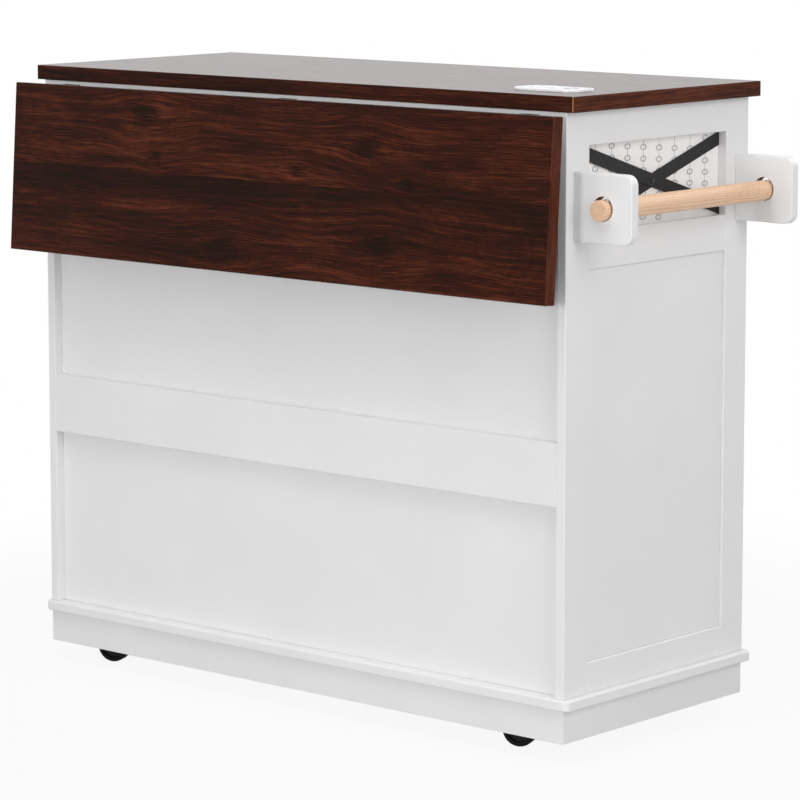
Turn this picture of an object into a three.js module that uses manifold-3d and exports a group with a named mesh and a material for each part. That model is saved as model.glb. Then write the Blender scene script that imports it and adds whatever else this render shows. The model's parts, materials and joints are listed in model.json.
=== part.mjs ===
// Drop leaf kitchen island on casters: a white MDF cabinet with a walnut laminate worktop, a hinged
// leaf on folding brackets along its back, a towel rail on its right end, two drawers above two doors
// on its front, and a power module let into the worktop.
// Millimetres. +X towards the towel rail, -Y towards the drop leaf, +Z up, floor at z = 0.
// The origin is the bottom centre of the whole island's box.

import * as THREE from "three";
import { ConvexGeometry } from "three/addons/geometries/ConvexGeometry.js";
import { mergeVertices } from "three/addons/utils/BufferGeometryUtils.js";
import Module from "manifold-3d";

// ---- Cabinet ----
const CABINET_LENGTH = 1025;
const CABINET_DEPTH = 422;
const CARCASS_HEIGHT = 816.5; // from the base board to the worktop's underside
const BOARD = 15;
const BOARD_EASE = 1; // chamfer on the edges of every board
const GROUND_CLEARANCE = 31;
const PLINTH_HEIGHT = 48.5;
const PLINTH_INSET = 1;
const BASE_PROJECTION_TOWEL_END = 12;
const BASE_PROJECTION_FAR_END = 6;
const BASE_PROJECTION_BACK = 7;
const BASE_PROJECTION_FRONT = 8;
const BASE_CORNER_RADIUS = 6;

// ---- Worktop ----
const WORKTOP_THICKNESS = 22;
const WORKTOP_END_OVERHANG = 14.5;
const WORKTOP_BACK_OVERHANG = 2.5;
const WORKTOP_FRONT_OVERHANG = 9.5;

// ---- Power module ----
const MODULE_LENGTH = 120;
const MODULE_WIDTH = 62;
const MODULE_CORNER_RADIUS = 26;
const MODULE_RIM_HEIGHT = 3;
const MODULE_RIM_LAP = 5; // rim past the cut-out in the worktop
const MODULE_DEPTH = 45; // housing below the worktop's top face
const MODULE_WALL = 5;
const MODULE_FROM_END = 110; // module centre to the worktop's towel-rail end
const MODULE_FROM_BACK = 93.5;
const MODULE_CLEARANCE = 0.5;
const FACEPLATE_THICKNESS = 2.5;
const FACEPLATE_LIP = 8; // rim left around the faceplate
const USB_LENGTH = 13;
const USB_HEIGHT = 5.5;
const USB_SPACING = 16;
const USB_OFFSET = 30; // from the module's centre towards the towel rail
const SOCKET_SPACING = 38;
const SOCKET_OFFSET = -19;
const SOCKET_SLOT_WIDTH = 2.2;
const SOCKET_SLOT_HEIGHT = 8;
const SOCKET_SLOT_SPACING = 12.7;
const SOCKET_EARTH_RADIUS = 2.4;
const SOCKET_EARTH_DROP = 11;

// ---- End frames ----
const STILE_BACK_WIDTH = 51;
const STILE_FRONT_WIDTH = 53;
const TOP_RAIL_HEIGHT = 48;
const WINDOW_HEIGHT = 120;
const MIDDLE_RAIL_HEIGHT = 52;
const BOTTOM_RAIL_HEIGHT = 44.5;
const END_PANEL_RECESS = 4;
const END_PANEL_THICKNESS = 9;
const WINDOW_PANEL_THICKNESS = 3;
const WINDOW_PANEL_LAP = 6; // window panel behind the stiles and rails
const BRACE_WIDTH = 19;
const BRACE_THICKNESS = 1.5;
const BRACE_RIVET_RADIUS = 3.5;
const BRACE_RIVET_HEIGHT = 1;
const BRACE_CLEARANCE = 0.25;

// ---- Back ----
const BACK_PANEL_THICKNESS = 5;
const BACK_TOP_RAIL_HEIGHT = 120;
const BACK_MIDDLE_RAIL_HEIGHT = 90;
const BACK_MIDDLE_RAIL_RISE = 269.5; // from the base board

// ---- Inside ----
const DECK_BELOW_WINDOW = 2;
const SHELF_RISE = 305.5;
const SHELF_SETBACK = 25; // from the front of the cabinet
const SHELF_CLEARANCE = 0.5;

// ---- Drawers ----
const FRONT_GAP = 2.5; // around every door and drawer front
const DRAWER_WALL = 12;
const DRAWER_FLOOR = 6;
const DRAWER_BOX_HEIGHT = 120;
const DRAWER_BACK_GAP = 41; // between the box and the back panel
const DRAWER_BOX_SIDE_GAP = 5.5; // between the box and the window panel
const DRAWER_BOX_MIDDLE_GAP = 8; // between the two boxes
const RUNNER_WIDTH = 24;
const RUNNER_HEIGHT = 10;
const RUNNER_WALL = 1.5;
const RUNNER_CLEARANCE = 0.25;
const GUIDE_WIDTH = 4;
const GUIDE_HEIGHT = 7;

// ---- Doors ----
const DOOR_FRAME_WIDTH = 55;
const DOOR_PANEL_RECESS = 5;
const HINGE_LENGTH = 60;
const HINGE_RADIUS = 3;
const HINGE_LEAF = 1;
const HINGE_CLEARANCE = 0.3; // fixed leaf to the door's edge
const HINGE_LEAF_DEPTH = 16;
const HINGE_STANDOFF = 3.5; // hinge axis in front of the door
const HINGE_FROM_DOOR_EDGE = 75;

// ---- Pulls ----
const PULL_LENGTH = 136;
const PULL_RADIUS = 5;
const PULL_POST_RADIUS = 4;
const PULL_POST_SPACING = 96;
const PULL_STANDOFF = 25;
const DOOR_PULL_FROM_EDGE = 29;
const DOOR_PULL_FROM_TOP = 150;

// ---- Drop leaf and its brackets ----
const LEAF_HEIGHT = 256;
const LEAF_THICKNESS = 22;
const LEAF_GAP = 2; // to the worktop when the leaf is up
const LEAF_HANG_ANGLE = 3.7; // degrees off the vertical at rest
const PIVOT_STANDOFF = 13; // leaf axis behind the cabinet's back face
const PIVOT_DROP = 13; // leaf axis below the leaf's underside when it is up
const BRACKET_FROM_END = 62.5; // outer brackets' middle to the cabinet's end
const BRACKET_WIDTH = 30;
const BRACKET_STEEL = 2;
const BRACKET_CHEEK_DEPTH = 7; // cheeks past the axis
const BRACKET_PLATE_TOP = 8; // above the axis
const BRACKET_PLATE_BELOW_STRUT = 12;
const BRACKET_PIN_RADIUS = 3;
const BRACKET_PIN_CLEARANCE = 0.4;
const ARM_CLEARANCE = 0.3;
const ARM_LENGTH = 240;
const ARM_EYE_RADIUS = 8;
const ARM_FLANGE_EDGE = 3; // flange edge above the axis line
const STRUT_DROP = 80; // strut axis below the leaf axis
const STRUT_LENGTH = 150;
const STRUT_WIDTH = 16;
const STRUT_THICKNESS = 5;
const STRUT_EYE_RADIUS = 6.5;

// ---- Towel rail ----
const TOWEL_BRACKET_REACH = 100;
const TOWEL_BRACKET_HEIGHT = 96;
const TOWEL_BRACKET_CORNER = 15;
const TOWEL_BRACKET_DROP = 81.5; // below the worktop's underside
const TOWEL_BRACKET_INSET = 16; // from the cabinet's back and front faces
const TOWEL_HOLE_RADIUS = 17;
const TOWEL_HOLE_REACH = 50;
const TOWEL_BAR_RADIUS = 14.5;
const TOWEL_BAR_OVERHANG = 10;
const TOWEL_BAR_CLEARANCE = 0.3;

// ---- Casters ----
const CASTER_FROM_END = 102.5;
const CASTER_FROM_SIDE = 63;
const CASTER_HEADING = 200; // degrees from +X to the trailing wheel
const CASTER_TRAIL = 20;
const CASTER_CLEARANCE = 0.3;
const WHEEL_RADIUS = 25;
const WHEEL_WIDTH = 22;
const WHEEL_BORE_RADIUS = 3.4;
const WHEEL_HUB_RADIUS = 9;
const WHEEL_WEB_INSET = 4;
const TYRE_DEPTH = 7;
const TYRE_SHOULDER = 3;
const AXLE_RADIUS = 3;
const FORK_STEEL = 2.5;
const FORK_SIDE_GAP = 1.5;
const FORK_CROWN_GAP = 8; // wheel to crown
const FORK_RACE_RADIUS = 15;
const FORK_DISC_RADIUS = 19;
const FORK_DISC_HEIGHT = 3;
const STEM_RADIUS = 5;
const STEM_LENGTH = 12;
const STEM_CLEARANCE = 0.5;

// Colour, roughness and metalness of each finish.
const FINISHES = {
  walnut: [0x4a2a20, 0.38, 0],
  white_mdf: [0xe6e6e4, 0.45, 0],
  black_steel: [0x343434, 0.5, 0.6],
  zinc_steel: [0x9a9c9e, 0.35, 0.9],
  beech: [0xe3bd92, 0.55, 0],
  black_rubber: [0x161616, 0.6, 0],
  white_plastic: [0xf0f0ee, 0.3, 0],
};

const wasm = await Module();
wasm.setup();
const island = new THREE.Group();

// Flat faces sit on a grid of 1/128 mm, so that two touching boards share exactly one plane.
const snap = (value) => Math.round(value * 128) / 128;

// The span from a to b, or its mirror image.
const span = (sign, a, b) => (sign > 0 ? [a, b] : [-b, -a]);

function place(group, name, finish, geometry) {
  const [color, roughness, metalness] = FINISHES[finish];
  const mesh = new THREE.Mesh(geometry, new THREE.MeshStandardMaterial({ color, roughness, metalness }));
  mesh.name = name;
  group.add(mesh);
  return mesh;
}

// ---- Solids ----

// A block between two planes on each axis, with every edge chamfered by ease.
function block(x, y, z, ease = 0) {
  const spans = [x, y, z].map((span) => span.map(snap));
  const points = [];
  for (const i of [0, 1]) {
    for (const j of [0, 1]) {
      for (const k of [0, 1]) {
        const corner = [spans[0][i], spans[1][j], spans[2][k]];
        const inward = [i, j, k].map((side) => (side ? -ease : ease));
        for (const kept of ease ? [0, 1, 2] : [0]) {
          const moved = corner.map((value, axis) => (ease && axis !== kept ? value + inward[axis] : value));
          points.push(new THREE.Vector3(...moved));
        }
      }
    }
  }
  return new ConvexGeometry(points);
}

// A board is an eased block whose mesh sits at the board's own centre.
function board(group, name, finish, x, y, z) {
  const spans = [x, y, z].map((span) => span.map(snap));
  const middle = spans.map(([low, high]) => snap((low + high) / 2));
  const own = spans.map((span, axis) => span.map((value) => value - middle[axis]));
  const mesh = place(group, name, finish, block(...own, BOARD_EASE));
  mesh.position.set(...middle);
  return mesh;
}

const outline = (points) => new THREE.Shape(points.map(([a, b]) => new THREE.Vector2(a, b)));

// Points along an arc, angles in degrees.
function arc(a, b, radius, from, to, steps) {
  return Array.from({ length: steps + 1 }, (_, i) => {
    const angle = THREE.MathUtils.degToRad(from + ((to - from) * i) / steps);
    return [a + radius * Math.cos(angle), b + radius * Math.sin(angle)];
  });
}

const circle = (a, b, radius, sides) => outline(arc(a, b, radius, 0, 360 - 360 / sides, sides - 1));

function roundedRectangle([a0, a1], [b0, b1], radius, steps = 5) {
  return outline([
    ...arc(a1 - radius, b0 + radius, radius, -90, 0, steps),
    ...arc(a1 - radius, b1 - radius, radius, 0, 90, steps),
    ...arc(a0 + radius, b1 - radius, radius, 90, 180, steps),
    ...arc(a0 + radius, b0 + radius, radius, 180, 270, steps),
  ]);
}

const X_AXIS = new THREE.Vector3(1, 0, 0);
const Y_AXIS = new THREE.Vector3(0, 1, 0);
const Z_AXIS = new THREE.Vector3(0, 0, 1);
const LYING_ALONG_X = new THREE.Matrix4().makeBasis(Y_AXIS, Z_AXIS, X_AXIS);
const LYING_ALONG_Y = new THREE.Matrix4().makeBasis(Z_AXIS, X_AXIS, Y_AXIS);

const extrude = (shape, depth) => new THREE.ExtrudeGeometry(shape, { depth, bevelEnabled: false });

// A shape in (y, z) carried from x0 to x1.
function extrudeX(shape, x0, x1) {
  return extrude(shape, x1 - x0).applyMatrix4(LYING_ALONG_X).translate(x0, 0, 0);
}

// A shape in (z, x) carried from y0 to y1.
function extrudeY(shape, y0, y1) {
  return extrude(shape, y1 - y0).applyMatrix4(LYING_ALONG_Y).translate(0, y0, 0);
}

// A shape in (x, y) carried from z0 to z1.
function extrudeZ(shape, z0, z1) {
  return extrude(shape, z1 - z0).translate(0, 0, z0);
}

// A convex body through plans in (x, y), each at its own height.
function layered(...layers) {
  return new ConvexGeometry(
    layers.flatMap(([plan, z]) => plan.getPoints().map((at) => new THREE.Vector3(at.x, at.y, z))),
  );
}

function solid(geometry) {
  const bare = geometry.clone();
  bare.deleteAttribute("normal");
  bare.deleteAttribute("uv");
  const merged = mergeVertices(bare, 1e-4);
  return new wasm.Manifold(
    new wasm.Mesh({
      numProp: 3,
      vertProperties: merged.attributes.position.array,
      triVerts: new Uint32Array(merged.index.array),
    }),
  );
}

function geometryOf(made) {
  const mesh = made.getMesh();
  const geometry = new THREE.BufferGeometry();
  geometry.setAttribute("position", new THREE.BufferAttribute(mesh.vertProperties, 3));
  geometry.setIndex(new THREE.BufferAttribute(mesh.triVerts, 1));
  geometry.computeVertexNormals();
  return geometry;
}

const joined = (...pieces) => geometryOf(pieces.map(solid).reduce((all, piece) => all.add(piece)));
const cut = (piece, ...tools) =>
  geometryOf(tools.map(solid).reduce((left, tool) => left.subtract(tool), solid(piece)));

// ---- Planes that the pieces share ----

const endFace = CABINET_LENGTH / 2; // outer face of the end frames
const endInner = endFace - BOARD;
const backFace = -CABINET_DEPTH / 2;
const frontFace = CABINET_DEPTH / 2;
const backPanelOuter = backFace + BOARD;
const backPanelInner = backPanelOuter + BACK_PANEL_THICKNESS;
const baseBottom = GROUND_CLEARANCE + PLINTH_HEIGHT;
const baseTop = baseBottom + BOARD;
const worktopBottom = baseTop + CARCASS_HEIGHT;
const worktopTop = worktopBottom + WORKTOP_THICKNESS;
const worktopBack = backFace - WORKTOP_BACK_OVERHANG;
const worktopHalfLength = endFace + WORKTOP_END_OVERHANG;
const windowTop = worktopBottom - TOP_RAIL_HEIGHT;
const windowBottom = windowTop - WINDOW_HEIGHT;
const endPanelTop = windowBottom - MIDDLE_RAIL_HEIGHT;
const endPanelBottom = baseTop + BOTTOM_RAIL_HEIGHT;
const windowBack = backFace + STILE_BACK_WIDTH;
const windowFront = frontFace - STILE_FRONT_WIDTH;
const deckTop = windowBottom - WINDOW_PANEL_LAP - DECK_BELOW_WINDOW;
const deckBottom = deckTop - BOARD;
const frontInner = frontFace - BOARD; // back of the doors and drawer fronts

// ---- Base: plinth and base board ----

const plinthX = endFace - PLINTH_INSET;
const plinthY = frontFace - PLINTH_INSET;
const plinthZ = [GROUND_CLEARANCE, baseBottom];
for (const [side, sign] of [["back", -1], ["front", 1]]) {
  const faces = span(sign, plinthY - BOARD, plinthY);
  board(island, `plinth_${side}`, "white_mdf", [-plinthX, plinthX], faces, plinthZ);
}
for (const [side, sign] of [["left", -1], ["right", 1]]) {
  const faces = span(sign, plinthX - BOARD, plinthX);
  board(island, `plinth_${side}`, "white_mdf", faces, [BOARD - plinthY, plinthY - BOARD], plinthZ);
}

const casters = [];
for (const [end, signX] of [["left", -1], ["right", 1]]) {
  for (const [side, signY] of [["back", -1], ["front", 1]]) {
    casters.push({
      name: `${end}_${side}`,
      x: signX * (endFace - CASTER_FROM_END),
      y: signY * (frontFace - CASTER_FROM_SIDE),
    });
  }
}

// The base board's ends and faces stand out all round as a moulding; it is drilled for the stems.
function baseBoard() {
  const plan = roundedRectangle(
    [-endFace - BASE_PROJECTION_FAR_END, endFace + BASE_PROJECTION_TOWEL_END],
    [backFace - BASE_PROJECTION_BACK, frontFace + BASE_PROJECTION_FRONT],
    BASE_CORNER_RADIUS,
    3,
  );
  const eased = new THREE.ExtrudeGeometry(plan, {
    depth: snap(BOARD) - 2 * BOARD_EASE,
    bevelThickness: BOARD_EASE,
    bevelSize: BOARD_EASE,
    bevelOffset: -BOARD_EASE,
    bevelSegments: 1,
  }).translate(0, 0, snap(baseBottom) + BOARD_EASE);
  const sockets = casters.map(({ x, y }) =>
    extrudeZ(circle(x, y, STEM_RADIUS + STEM_CLEARANCE, 16), baseBottom - 1, baseBottom + STEM_LENGTH + 1),
  );
  return cut(eased, ...sockets);
}
place(island, "base_board", "white_mdf", baseBoard());

// ---- End frames ----

const frameZ = [baseTop, worktopBottom];
const railZ = {
  top: [windowTop, worktopBottom],
  middle: [endPanelTop, windowBottom],
  bottom: [baseTop, endPanelBottom],
};

// Two flat bars from corner to corner of the window, riveted where they cross.
function brace(sign) {
  const y0 = windowBack + BRACE_CLEARANCE;
  const y1 = windowFront - BRACE_CLEARANCE;
  const z0 = windowBottom + BRACE_CLEARANCE;
  const z1 = windowTop - BRACE_CLEARANCE;
  const slope = Math.hypot(y1 - y0, z1 - z0 - BRACE_WIDTH) / (y1 - y0);
  const upright = BRACE_WIDTH * slope; // the bar's width measured along the window's side
  const rising = outline([[y0, z0], [y1, z1 - upright], [y1, z1], [y0, z0 + upright]]);
  const falling = outline([[y0, z1 - upright], [y1, z0], [y1, z0 + upright], [y0, z1]]);
  const inner = endInner + BRACE_CLEARANCE;
  const between = inner + BRACE_THICKNESS;
  const outer = between + BRACE_THICKNESS;
  const rivet = circle((y0 + y1) / 2, (z0 + z1) / 2, BRACE_RIVET_RADIUS, 12);
  const right = joined(
    extrudeX(rising, inner, between),
    extrudeX(falling, between, outer),
    extrudeX(rivet, inner, outer + BRACE_RIVET_HEIGHT),
  );
  return sign > 0 ? right : geometryOf(solid(right).mirror([1, 0, 0]));
}

for (const [end, sign] of [["left", -1], ["right", 1]]) {
  const thickness = span(sign, endInner, endFace);
  const panelFace = endFace - END_PANEL_RECESS;
  const panel = span(sign, panelFace - END_PANEL_THICKNESS, panelFace);
  const panelZ = [endPanelBottom, endPanelTop];
  const rails = [windowBack, windowFront];
  const stileBack = [backFace, windowBack];
  const stileFront = [windowFront, frontFace];
  if (sign > 0) {
    board(island, "end_right_stile_back", "white_mdf", thickness, stileBack, frameZ);
    board(island, "end_right_stile_front", "white_mdf", thickness, stileFront, frameZ);
    for (const [level, z] of Object.entries(railZ)) {
      board(island, `end_right_rail_${level}`, "white_mdf", thickness, rails, z);
    }
    board(island, "end_right_lower_panel", "white_mdf", panel, rails, panelZ);
  } else {
    // The far end is one board, with the same frame cut into it.
    const whole = block(thickness, [backFace, frontFace], frameZ, BOARD_EASE);
    const windowHole = block([thickness[0] - 1, thickness[1] + 1], rails, [windowBottom, windowTop]);
    const outerRecess = block([thickness[0] - 1, panel[0]], rails, panelZ);
    place(island, "end_left_frame", "white_mdf", cut(whole, windowHole, outerRecess));
  }
  board(
    island,
    `end_${end}_window_panel`,
    "white_mdf",
    span(sign, endInner - WINDOW_PANEL_THICKNESS, endInner),
    [windowBack - WINDOW_PANEL_LAP, windowFront + WINDOW_PANEL_LAP],
    [windowBottom - WINDOW_PANEL_LAP, windowTop + WINDOW_PANEL_LAP],
  );
  place(island, `end_${end}_x_brace`, "black_steel", brace(sign));
}

// ---- Back ----

const betweenEnds = [-endInner, endInner];
const middleRailBottom = baseTop + BACK_MIDDLE_RAIL_RISE;
board(island, "back_panel", "white_mdf", betweenEnds, [backPanelOuter, backPanelInner], frameZ);
board(
  island,
  "back_top_rail",
  "white_mdf",
  betweenEnds,
  [backFace, backPanelOuter],
  [worktopBottom - BACK_TOP_RAIL_HEIGHT, worktopBottom],
);
board(
  island,
  "back_middle_rail",
  "white_mdf",
  betweenEnds,
  [backFace, backPanelOuter],
  [middleRailBottom, middleRailBottom + BACK_MIDDLE_RAIL_HEIGHT],
);

// ---- Inside ----

board(island, "drawer_deck", "white_mdf", betweenEnds, [backPanelInner, frontFace], [deckBottom, deckTop]);
board(
  island,
  "shelf",
  "white_mdf",
  [SHELF_CLEARANCE - endInner, endInner - SHELF_CLEARANCE],
  [backPanelInner + SHELF_CLEARANCE, frontFace - SHELF_SETBACK],
  [baseTop + SHELF_RISE, baseTop + SHELF_RISE + BOARD],
);

// ---- Worktop and power module ----

const moduleX = worktopHalfLength - MODULE_FROM_END;
const moduleY = worktopBack + MODULE_FROM_BACK;

// The module's plan, drawn in by inset on every side.
function modulePlan(inset) {
  const halfLength = MODULE_LENGTH / 2 - inset;
  const halfWidth = MODULE_WIDTH / 2 - inset;
  return roundedRectangle(
    [moduleX - halfLength, moduleX + halfLength],
    [moduleY - halfWidth, moduleY + halfWidth],
    Math.max(MODULE_CORNER_RADIUS - inset, 1),
  );
}

function worktop() {
  const slab = block(
    [-worktopHalfLength, worktopHalfLength],
    [worktopBack, frontFace + WORKTOP_FRONT_OVERHANG],
    [worktopBottom, worktopTop],
    BOARD_EASE,
  );
  return cut(slab, extrudeZ(modulePlan(MODULE_RIM_LAP), worktopBottom - 1, worktopTop + 1));
}
place(island, "worktop", "walnut", worktop());

const rimTop = worktopTop + MODULE_RIM_HEIGHT;
const faceplateBottom = rimTop - FACEPLATE_THICKNESS;

// A deep cup with a rim that lies on the worktop; the faceplate closes it.
function moduleHousing() {
  const inset = MODULE_RIM_LAP + MODULE_CLEARANCE;
  const rim = layered(
    [modulePlan(0), worktopTop],
    [modulePlan(0), worktopTop + MODULE_RIM_HEIGHT / 2],
    [modulePlan(MODULE_RIM_HEIGHT / 2), rimTop],
  );
  const cup = extrudeZ(modulePlan(inset), worktopTop - MODULE_DEPTH, worktopTop + MODULE_RIM_HEIGHT / 2);
  const gland = extrudeZ(
    circle(moduleX, moduleY, 8, 16),
    worktopTop - MODULE_DEPTH - 6,
    worktopTop - MODULE_DEPTH + 1,
  );
  const outside = joined(rim, cup, gland);
  const wellFloor = worktopTop - MODULE_DEPTH + MODULE_WALL;
  const well = extrudeZ(modulePlan(inset + MODULE_WALL), wellFloor, rimTop + 1);
  const seat = extrudeZ(modulePlan(FACEPLATE_LIP - MODULE_CLEARANCE), faceplateBottom, rimTop + 1);
  const cordHole = extrudeZ(
    circle(moduleX, moduleY, 4, 16),
    worktopTop - MODULE_DEPTH - 7,
    wellFloor + 1,
  );
  return cut(outside, well, seat, cordHole);
}
place(island, "power_module_housing", "white_plastic", moduleHousing());

function faceplate() {
  const openings = [];
  for (const side of [-1, 1]) {
    const y = moduleY + (side * USB_SPACING) / 2;
    const x = moduleX + USB_OFFSET;
    openings.push(
      block(
        [x - USB_LENGTH / 2, x + USB_LENGTH / 2],
        [y - USB_HEIGHT / 2, y + USB_HEIGHT / 2],
        [faceplateBottom - 1, rimTop + 1],
      ),
    );
    const socketX = moduleX + SOCKET_OFFSET + (side * SOCKET_SPACING) / 2;
    for (const pole of [-1, 1]) {
      const slotX = socketX + (pole * SOCKET_SLOT_SPACING) / 2;
      openings.push(
        block(
          [slotX - SOCKET_SLOT_WIDTH / 2, slotX + SOCKET_SLOT_WIDTH / 2],
          [moduleY, moduleY + SOCKET_SLOT_HEIGHT],
          [faceplateBottom - 1, rimTop + 1],
        ),
      );
    }
    const earthY = moduleY + SOCKET_SLOT_HEIGHT / 2 - SOCKET_EARTH_DROP;
    const earth = circle(socketX, earthY, SOCKET_EARTH_RADIUS, 10);
    openings.push(extrudeZ(earth, faceplateBottom - 1, rimTop + 1));
  }
  return cut(extrudeZ(modulePlan(FACEPLATE_LIP), faceplateBottom, rimTop), ...openings);
}
place(island, "power_module_faceplate", "white_plastic", faceplate());

// ---- Pulls ----

// A round bar on two posts, centred on the origin, with the posts' feet at y = 0 and the bar along X.
function pull() {
  const bar = extrudeX(circle(PULL_STANDOFF, 0, PULL_RADIUS, 12), -PULL_LENGTH / 2, PULL_LENGTH / 2);
  const posts = [-1, 1].map((side) =>
    extrudeY(circle(0, (side * PULL_POST_SPACING) / 2, PULL_POST_RADIUS, 12), 0, PULL_STANDOFF),
  );
  return joined(bar, ...posts);
}

// ---- Drawers ----

const boxBottom = deckTop + RUNNER_HEIGHT + RUNNER_CLEARANCE;
const boxY = [backPanelInner + DRAWER_BACK_GAP, frontInner];
const frontHalf = [FRONT_GAP / 2, endInner - FRONT_GAP];

// An open box with two guide ribs that straddle the centre runner.
function drawerBox(middle, x) {
  const outer = block(x, boxY, [boxBottom, boxBottom + DRAWER_BOX_HEIGHT]);
  const hollow = block(
    [x[0] + DRAWER_WALL, x[1] - DRAWER_WALL],
    [boxY[0] + DRAWER_WALL, boxY[1] - DRAWER_WALL],
    [boxBottom + DRAWER_FLOOR, boxBottom + DRAWER_BOX_HEIGHT + 1],
  );
  const ribs = [-1, 1].map((side) => {
    const near = RUNNER_WIDTH / 2 + 2 * RUNNER_CLEARANCE;
    const across = span(side, near, near + GUIDE_WIDTH).map((value) => middle + value);
    return block(across, boxY, [boxBottom - GUIDE_HEIGHT, boxBottom + DRAWER_FLOOR / 2]);
  });
  return cut(joined(outer, ...ribs), hollow);
}

// A steel channel, open side down, screwed along the deck.
function runner(middle) {
  const half = RUNNER_WIDTH / 2;
  const z1 = deckTop + RUNNER_HEIGHT;
  const profile = outline([
    [deckTop, middle - half],
    [z1, middle - half],
    [z1, middle + half],
    [deckTop, middle + half],
    [deckTop, middle + half - RUNNER_WALL],
    [z1 - RUNNER_WALL, middle + half - RUNNER_WALL],
    [z1 - RUNNER_WALL, middle - half + RUNNER_WALL],
    [deckTop, middle - half + RUNNER_WALL],
  ]);
  return extrudeY(profile, boxY[0], boxY[1] - DRAWER_WALL);
}

for (const [side, sign] of [["left", -1], ["right", 1]]) {
  const x = span(sign, ...frontHalf);
  const middle = snap((x[0] + x[1]) / 2);
  const boxOuter = endInner - WINDOW_PANEL_THICKNESS - DRAWER_BOX_SIDE_GAP;
  const boxX = span(sign, DRAWER_BOX_MIDDLE_GAP / 2, boxOuter);
  const z = [deckTop + FRONT_GAP, worktopBottom - FRONT_GAP];
  place(island, `drawer_${side}_box`, "white_mdf", drawerBox(middle, boxX));
  board(island, `drawer_${side}_front`, "white_mdf", x, [frontInner, frontFace], z);
  const handle = place(island, `drawer_${side}_pull`, "black_steel", pull());
  handle.position.set(middle, snap(frontFace), snap((z[0] + z[1]) / 2));
  place(island, `drawer_${side}_runner`, "zinc_steel", runner(middle));
}

// ---- Doors ----

const doorZ = [baseTop + FRONT_GAP, deckBottom - FRONT_GAP];
const doorHalf = [FRONT_GAP / 2, endInner - HINGE_LEAF - HINGE_CLEARANCE];
const hingeAxisX = (doorHalf[1] + endInner) / 2;
const hingeAxisY = frontFace + HINGE_STANDOFF;

// The fixed half of a butt hinge: its leaf on the end frame, and its barrel in front of the door.
function hinge(sign, middle) {
  const z0 = middle - HINGE_LENGTH / 2;
  const z1 = middle + HINGE_LENGTH / 2;
  const barrel = extrudeZ(circle(sign * hingeAxisX, hingeAxisY, HINGE_RADIUS, 16), z0, z1);
  const leafFace = span(sign, endInner - HINGE_LEAF, endInner);
  const leaf = block(leafFace, [frontFace - HINGE_LEAF_DEPTH, hingeAxisY], [z0, z1]);
  return joined(barrel, leaf);
}

for (const [side, sign] of [["left", -1], ["right", 1]]) {
  const x = span(sign, ...doorHalf);
  const door = block(x, [frontInner, frontFace], doorZ, BOARD_EASE);
  const recess = block(
    [x[0] + DOOR_FRAME_WIDTH, x[1] - DOOR_FRAME_WIDTH],
    [frontFace - DOOR_PANEL_RECESS, frontFace + 1],
    [doorZ[0] + DOOR_FRAME_WIDTH, doorZ[1] - DOOR_FRAME_WIDTH],
  );
  place(island, `door_${side}`, "white_mdf", cut(door, recess));
  const handle = place(island, `door_${side}_pull`, "black_steel", pull().rotateY(Math.PI / 2));
  handle.position.set(
    snap(sign * (doorHalf[0] + DOOR_PULL_FROM_EDGE)),
    snap(frontFace),
    snap(doorZ[1] - DOOR_PULL_FROM_TOP),
  );
  place(
    island,
    `door_${side}_hinge_upper`,
    "black_steel",
    hinge(sign, doorZ[1] - HINGE_FROM_DOOR_EDGE),
  );
  place(
    island,
    `door_${side}_hinge_lower`,
    "black_steel",
    hinge(sign, doorZ[0] + HINGE_FROM_DOOR_EDGE),
  );
}

// ---- Drop leaf ----
// The leaf turns about the pins of its brackets. Its group is drawn as if the leaf were up, with the
// pin's axis as origin and -Y away from the cabinet, and is then turned down to hang.

const pivotY = backFace - PIVOT_STANDOFF;
const pivotZ = worktopTop - LEAF_THICKNESS - PIVOT_DROP;
const hangAngle = THREE.MathUtils.degToRad(LEAF_HANG_ANGLE);
const leafInnerEdge = worktopBack - LEAF_GAP - pivotY;

const leafGroup = new THREE.Group();
leafGroup.position.set(0, pivotY, pivotZ);
leafGroup.rotation.x = Math.PI / 2 - hangAngle;
island.add(leafGroup);
board(
  leafGroup,
  "drop_leaf",
  "walnut",
  [-worktopHalfLength, worktopHalfLength],
  [leafInnerEdge - LEAF_HEIGHT, leafInnerEdge],
  [PIVOT_DROP, PIVOT_DROP + LEAF_THICKNESS],
);

const pinHoleRadius = BRACKET_PIN_RADIUS + BRACKET_PIN_CLEARANCE;
const plateHalf = BRACKET_WIDTH / 2;
const armHalf = plateHalf - BRACKET_STEEL - ARM_CLEARANCE;

// A channel that holds the leaf from below, with an eye around the pin in each flange.
function arm(middle) {
  const webTop = PIVOT_DROP - ARM_CLEARANCE;
  const webBottom = webTop - BRACKET_STEEL;
  const webX = [middle - armHalf, middle + armHalf];
  const web = block(webX, [-ARM_LENGTH, ARM_EYE_RADIUS], [webBottom, webTop]);
  const flange = outline([
    ...arc(0, 0, ARM_EYE_RADIUS, 0, -135, 6),
    [-3 * ARM_EYE_RADIUS, ARM_FLANGE_EDGE],
    [-ARM_LENGTH, ARM_FLANGE_EDGE],
    [-ARM_LENGTH, webTop],
    [ARM_EYE_RADIUS, webTop],
  ].reverse());
  flange.holes.push(circle(0, 0, pinHoleRadius, 16));
  const flanges = [-1, 1].map((side) => {
    const x = span(side, armHalf - BRACKET_STEEL, armHalf).map((value) => middle + value);
    return extrudeX(flange, ...x);
  });
  return joined(web, ...flanges);
}

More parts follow.
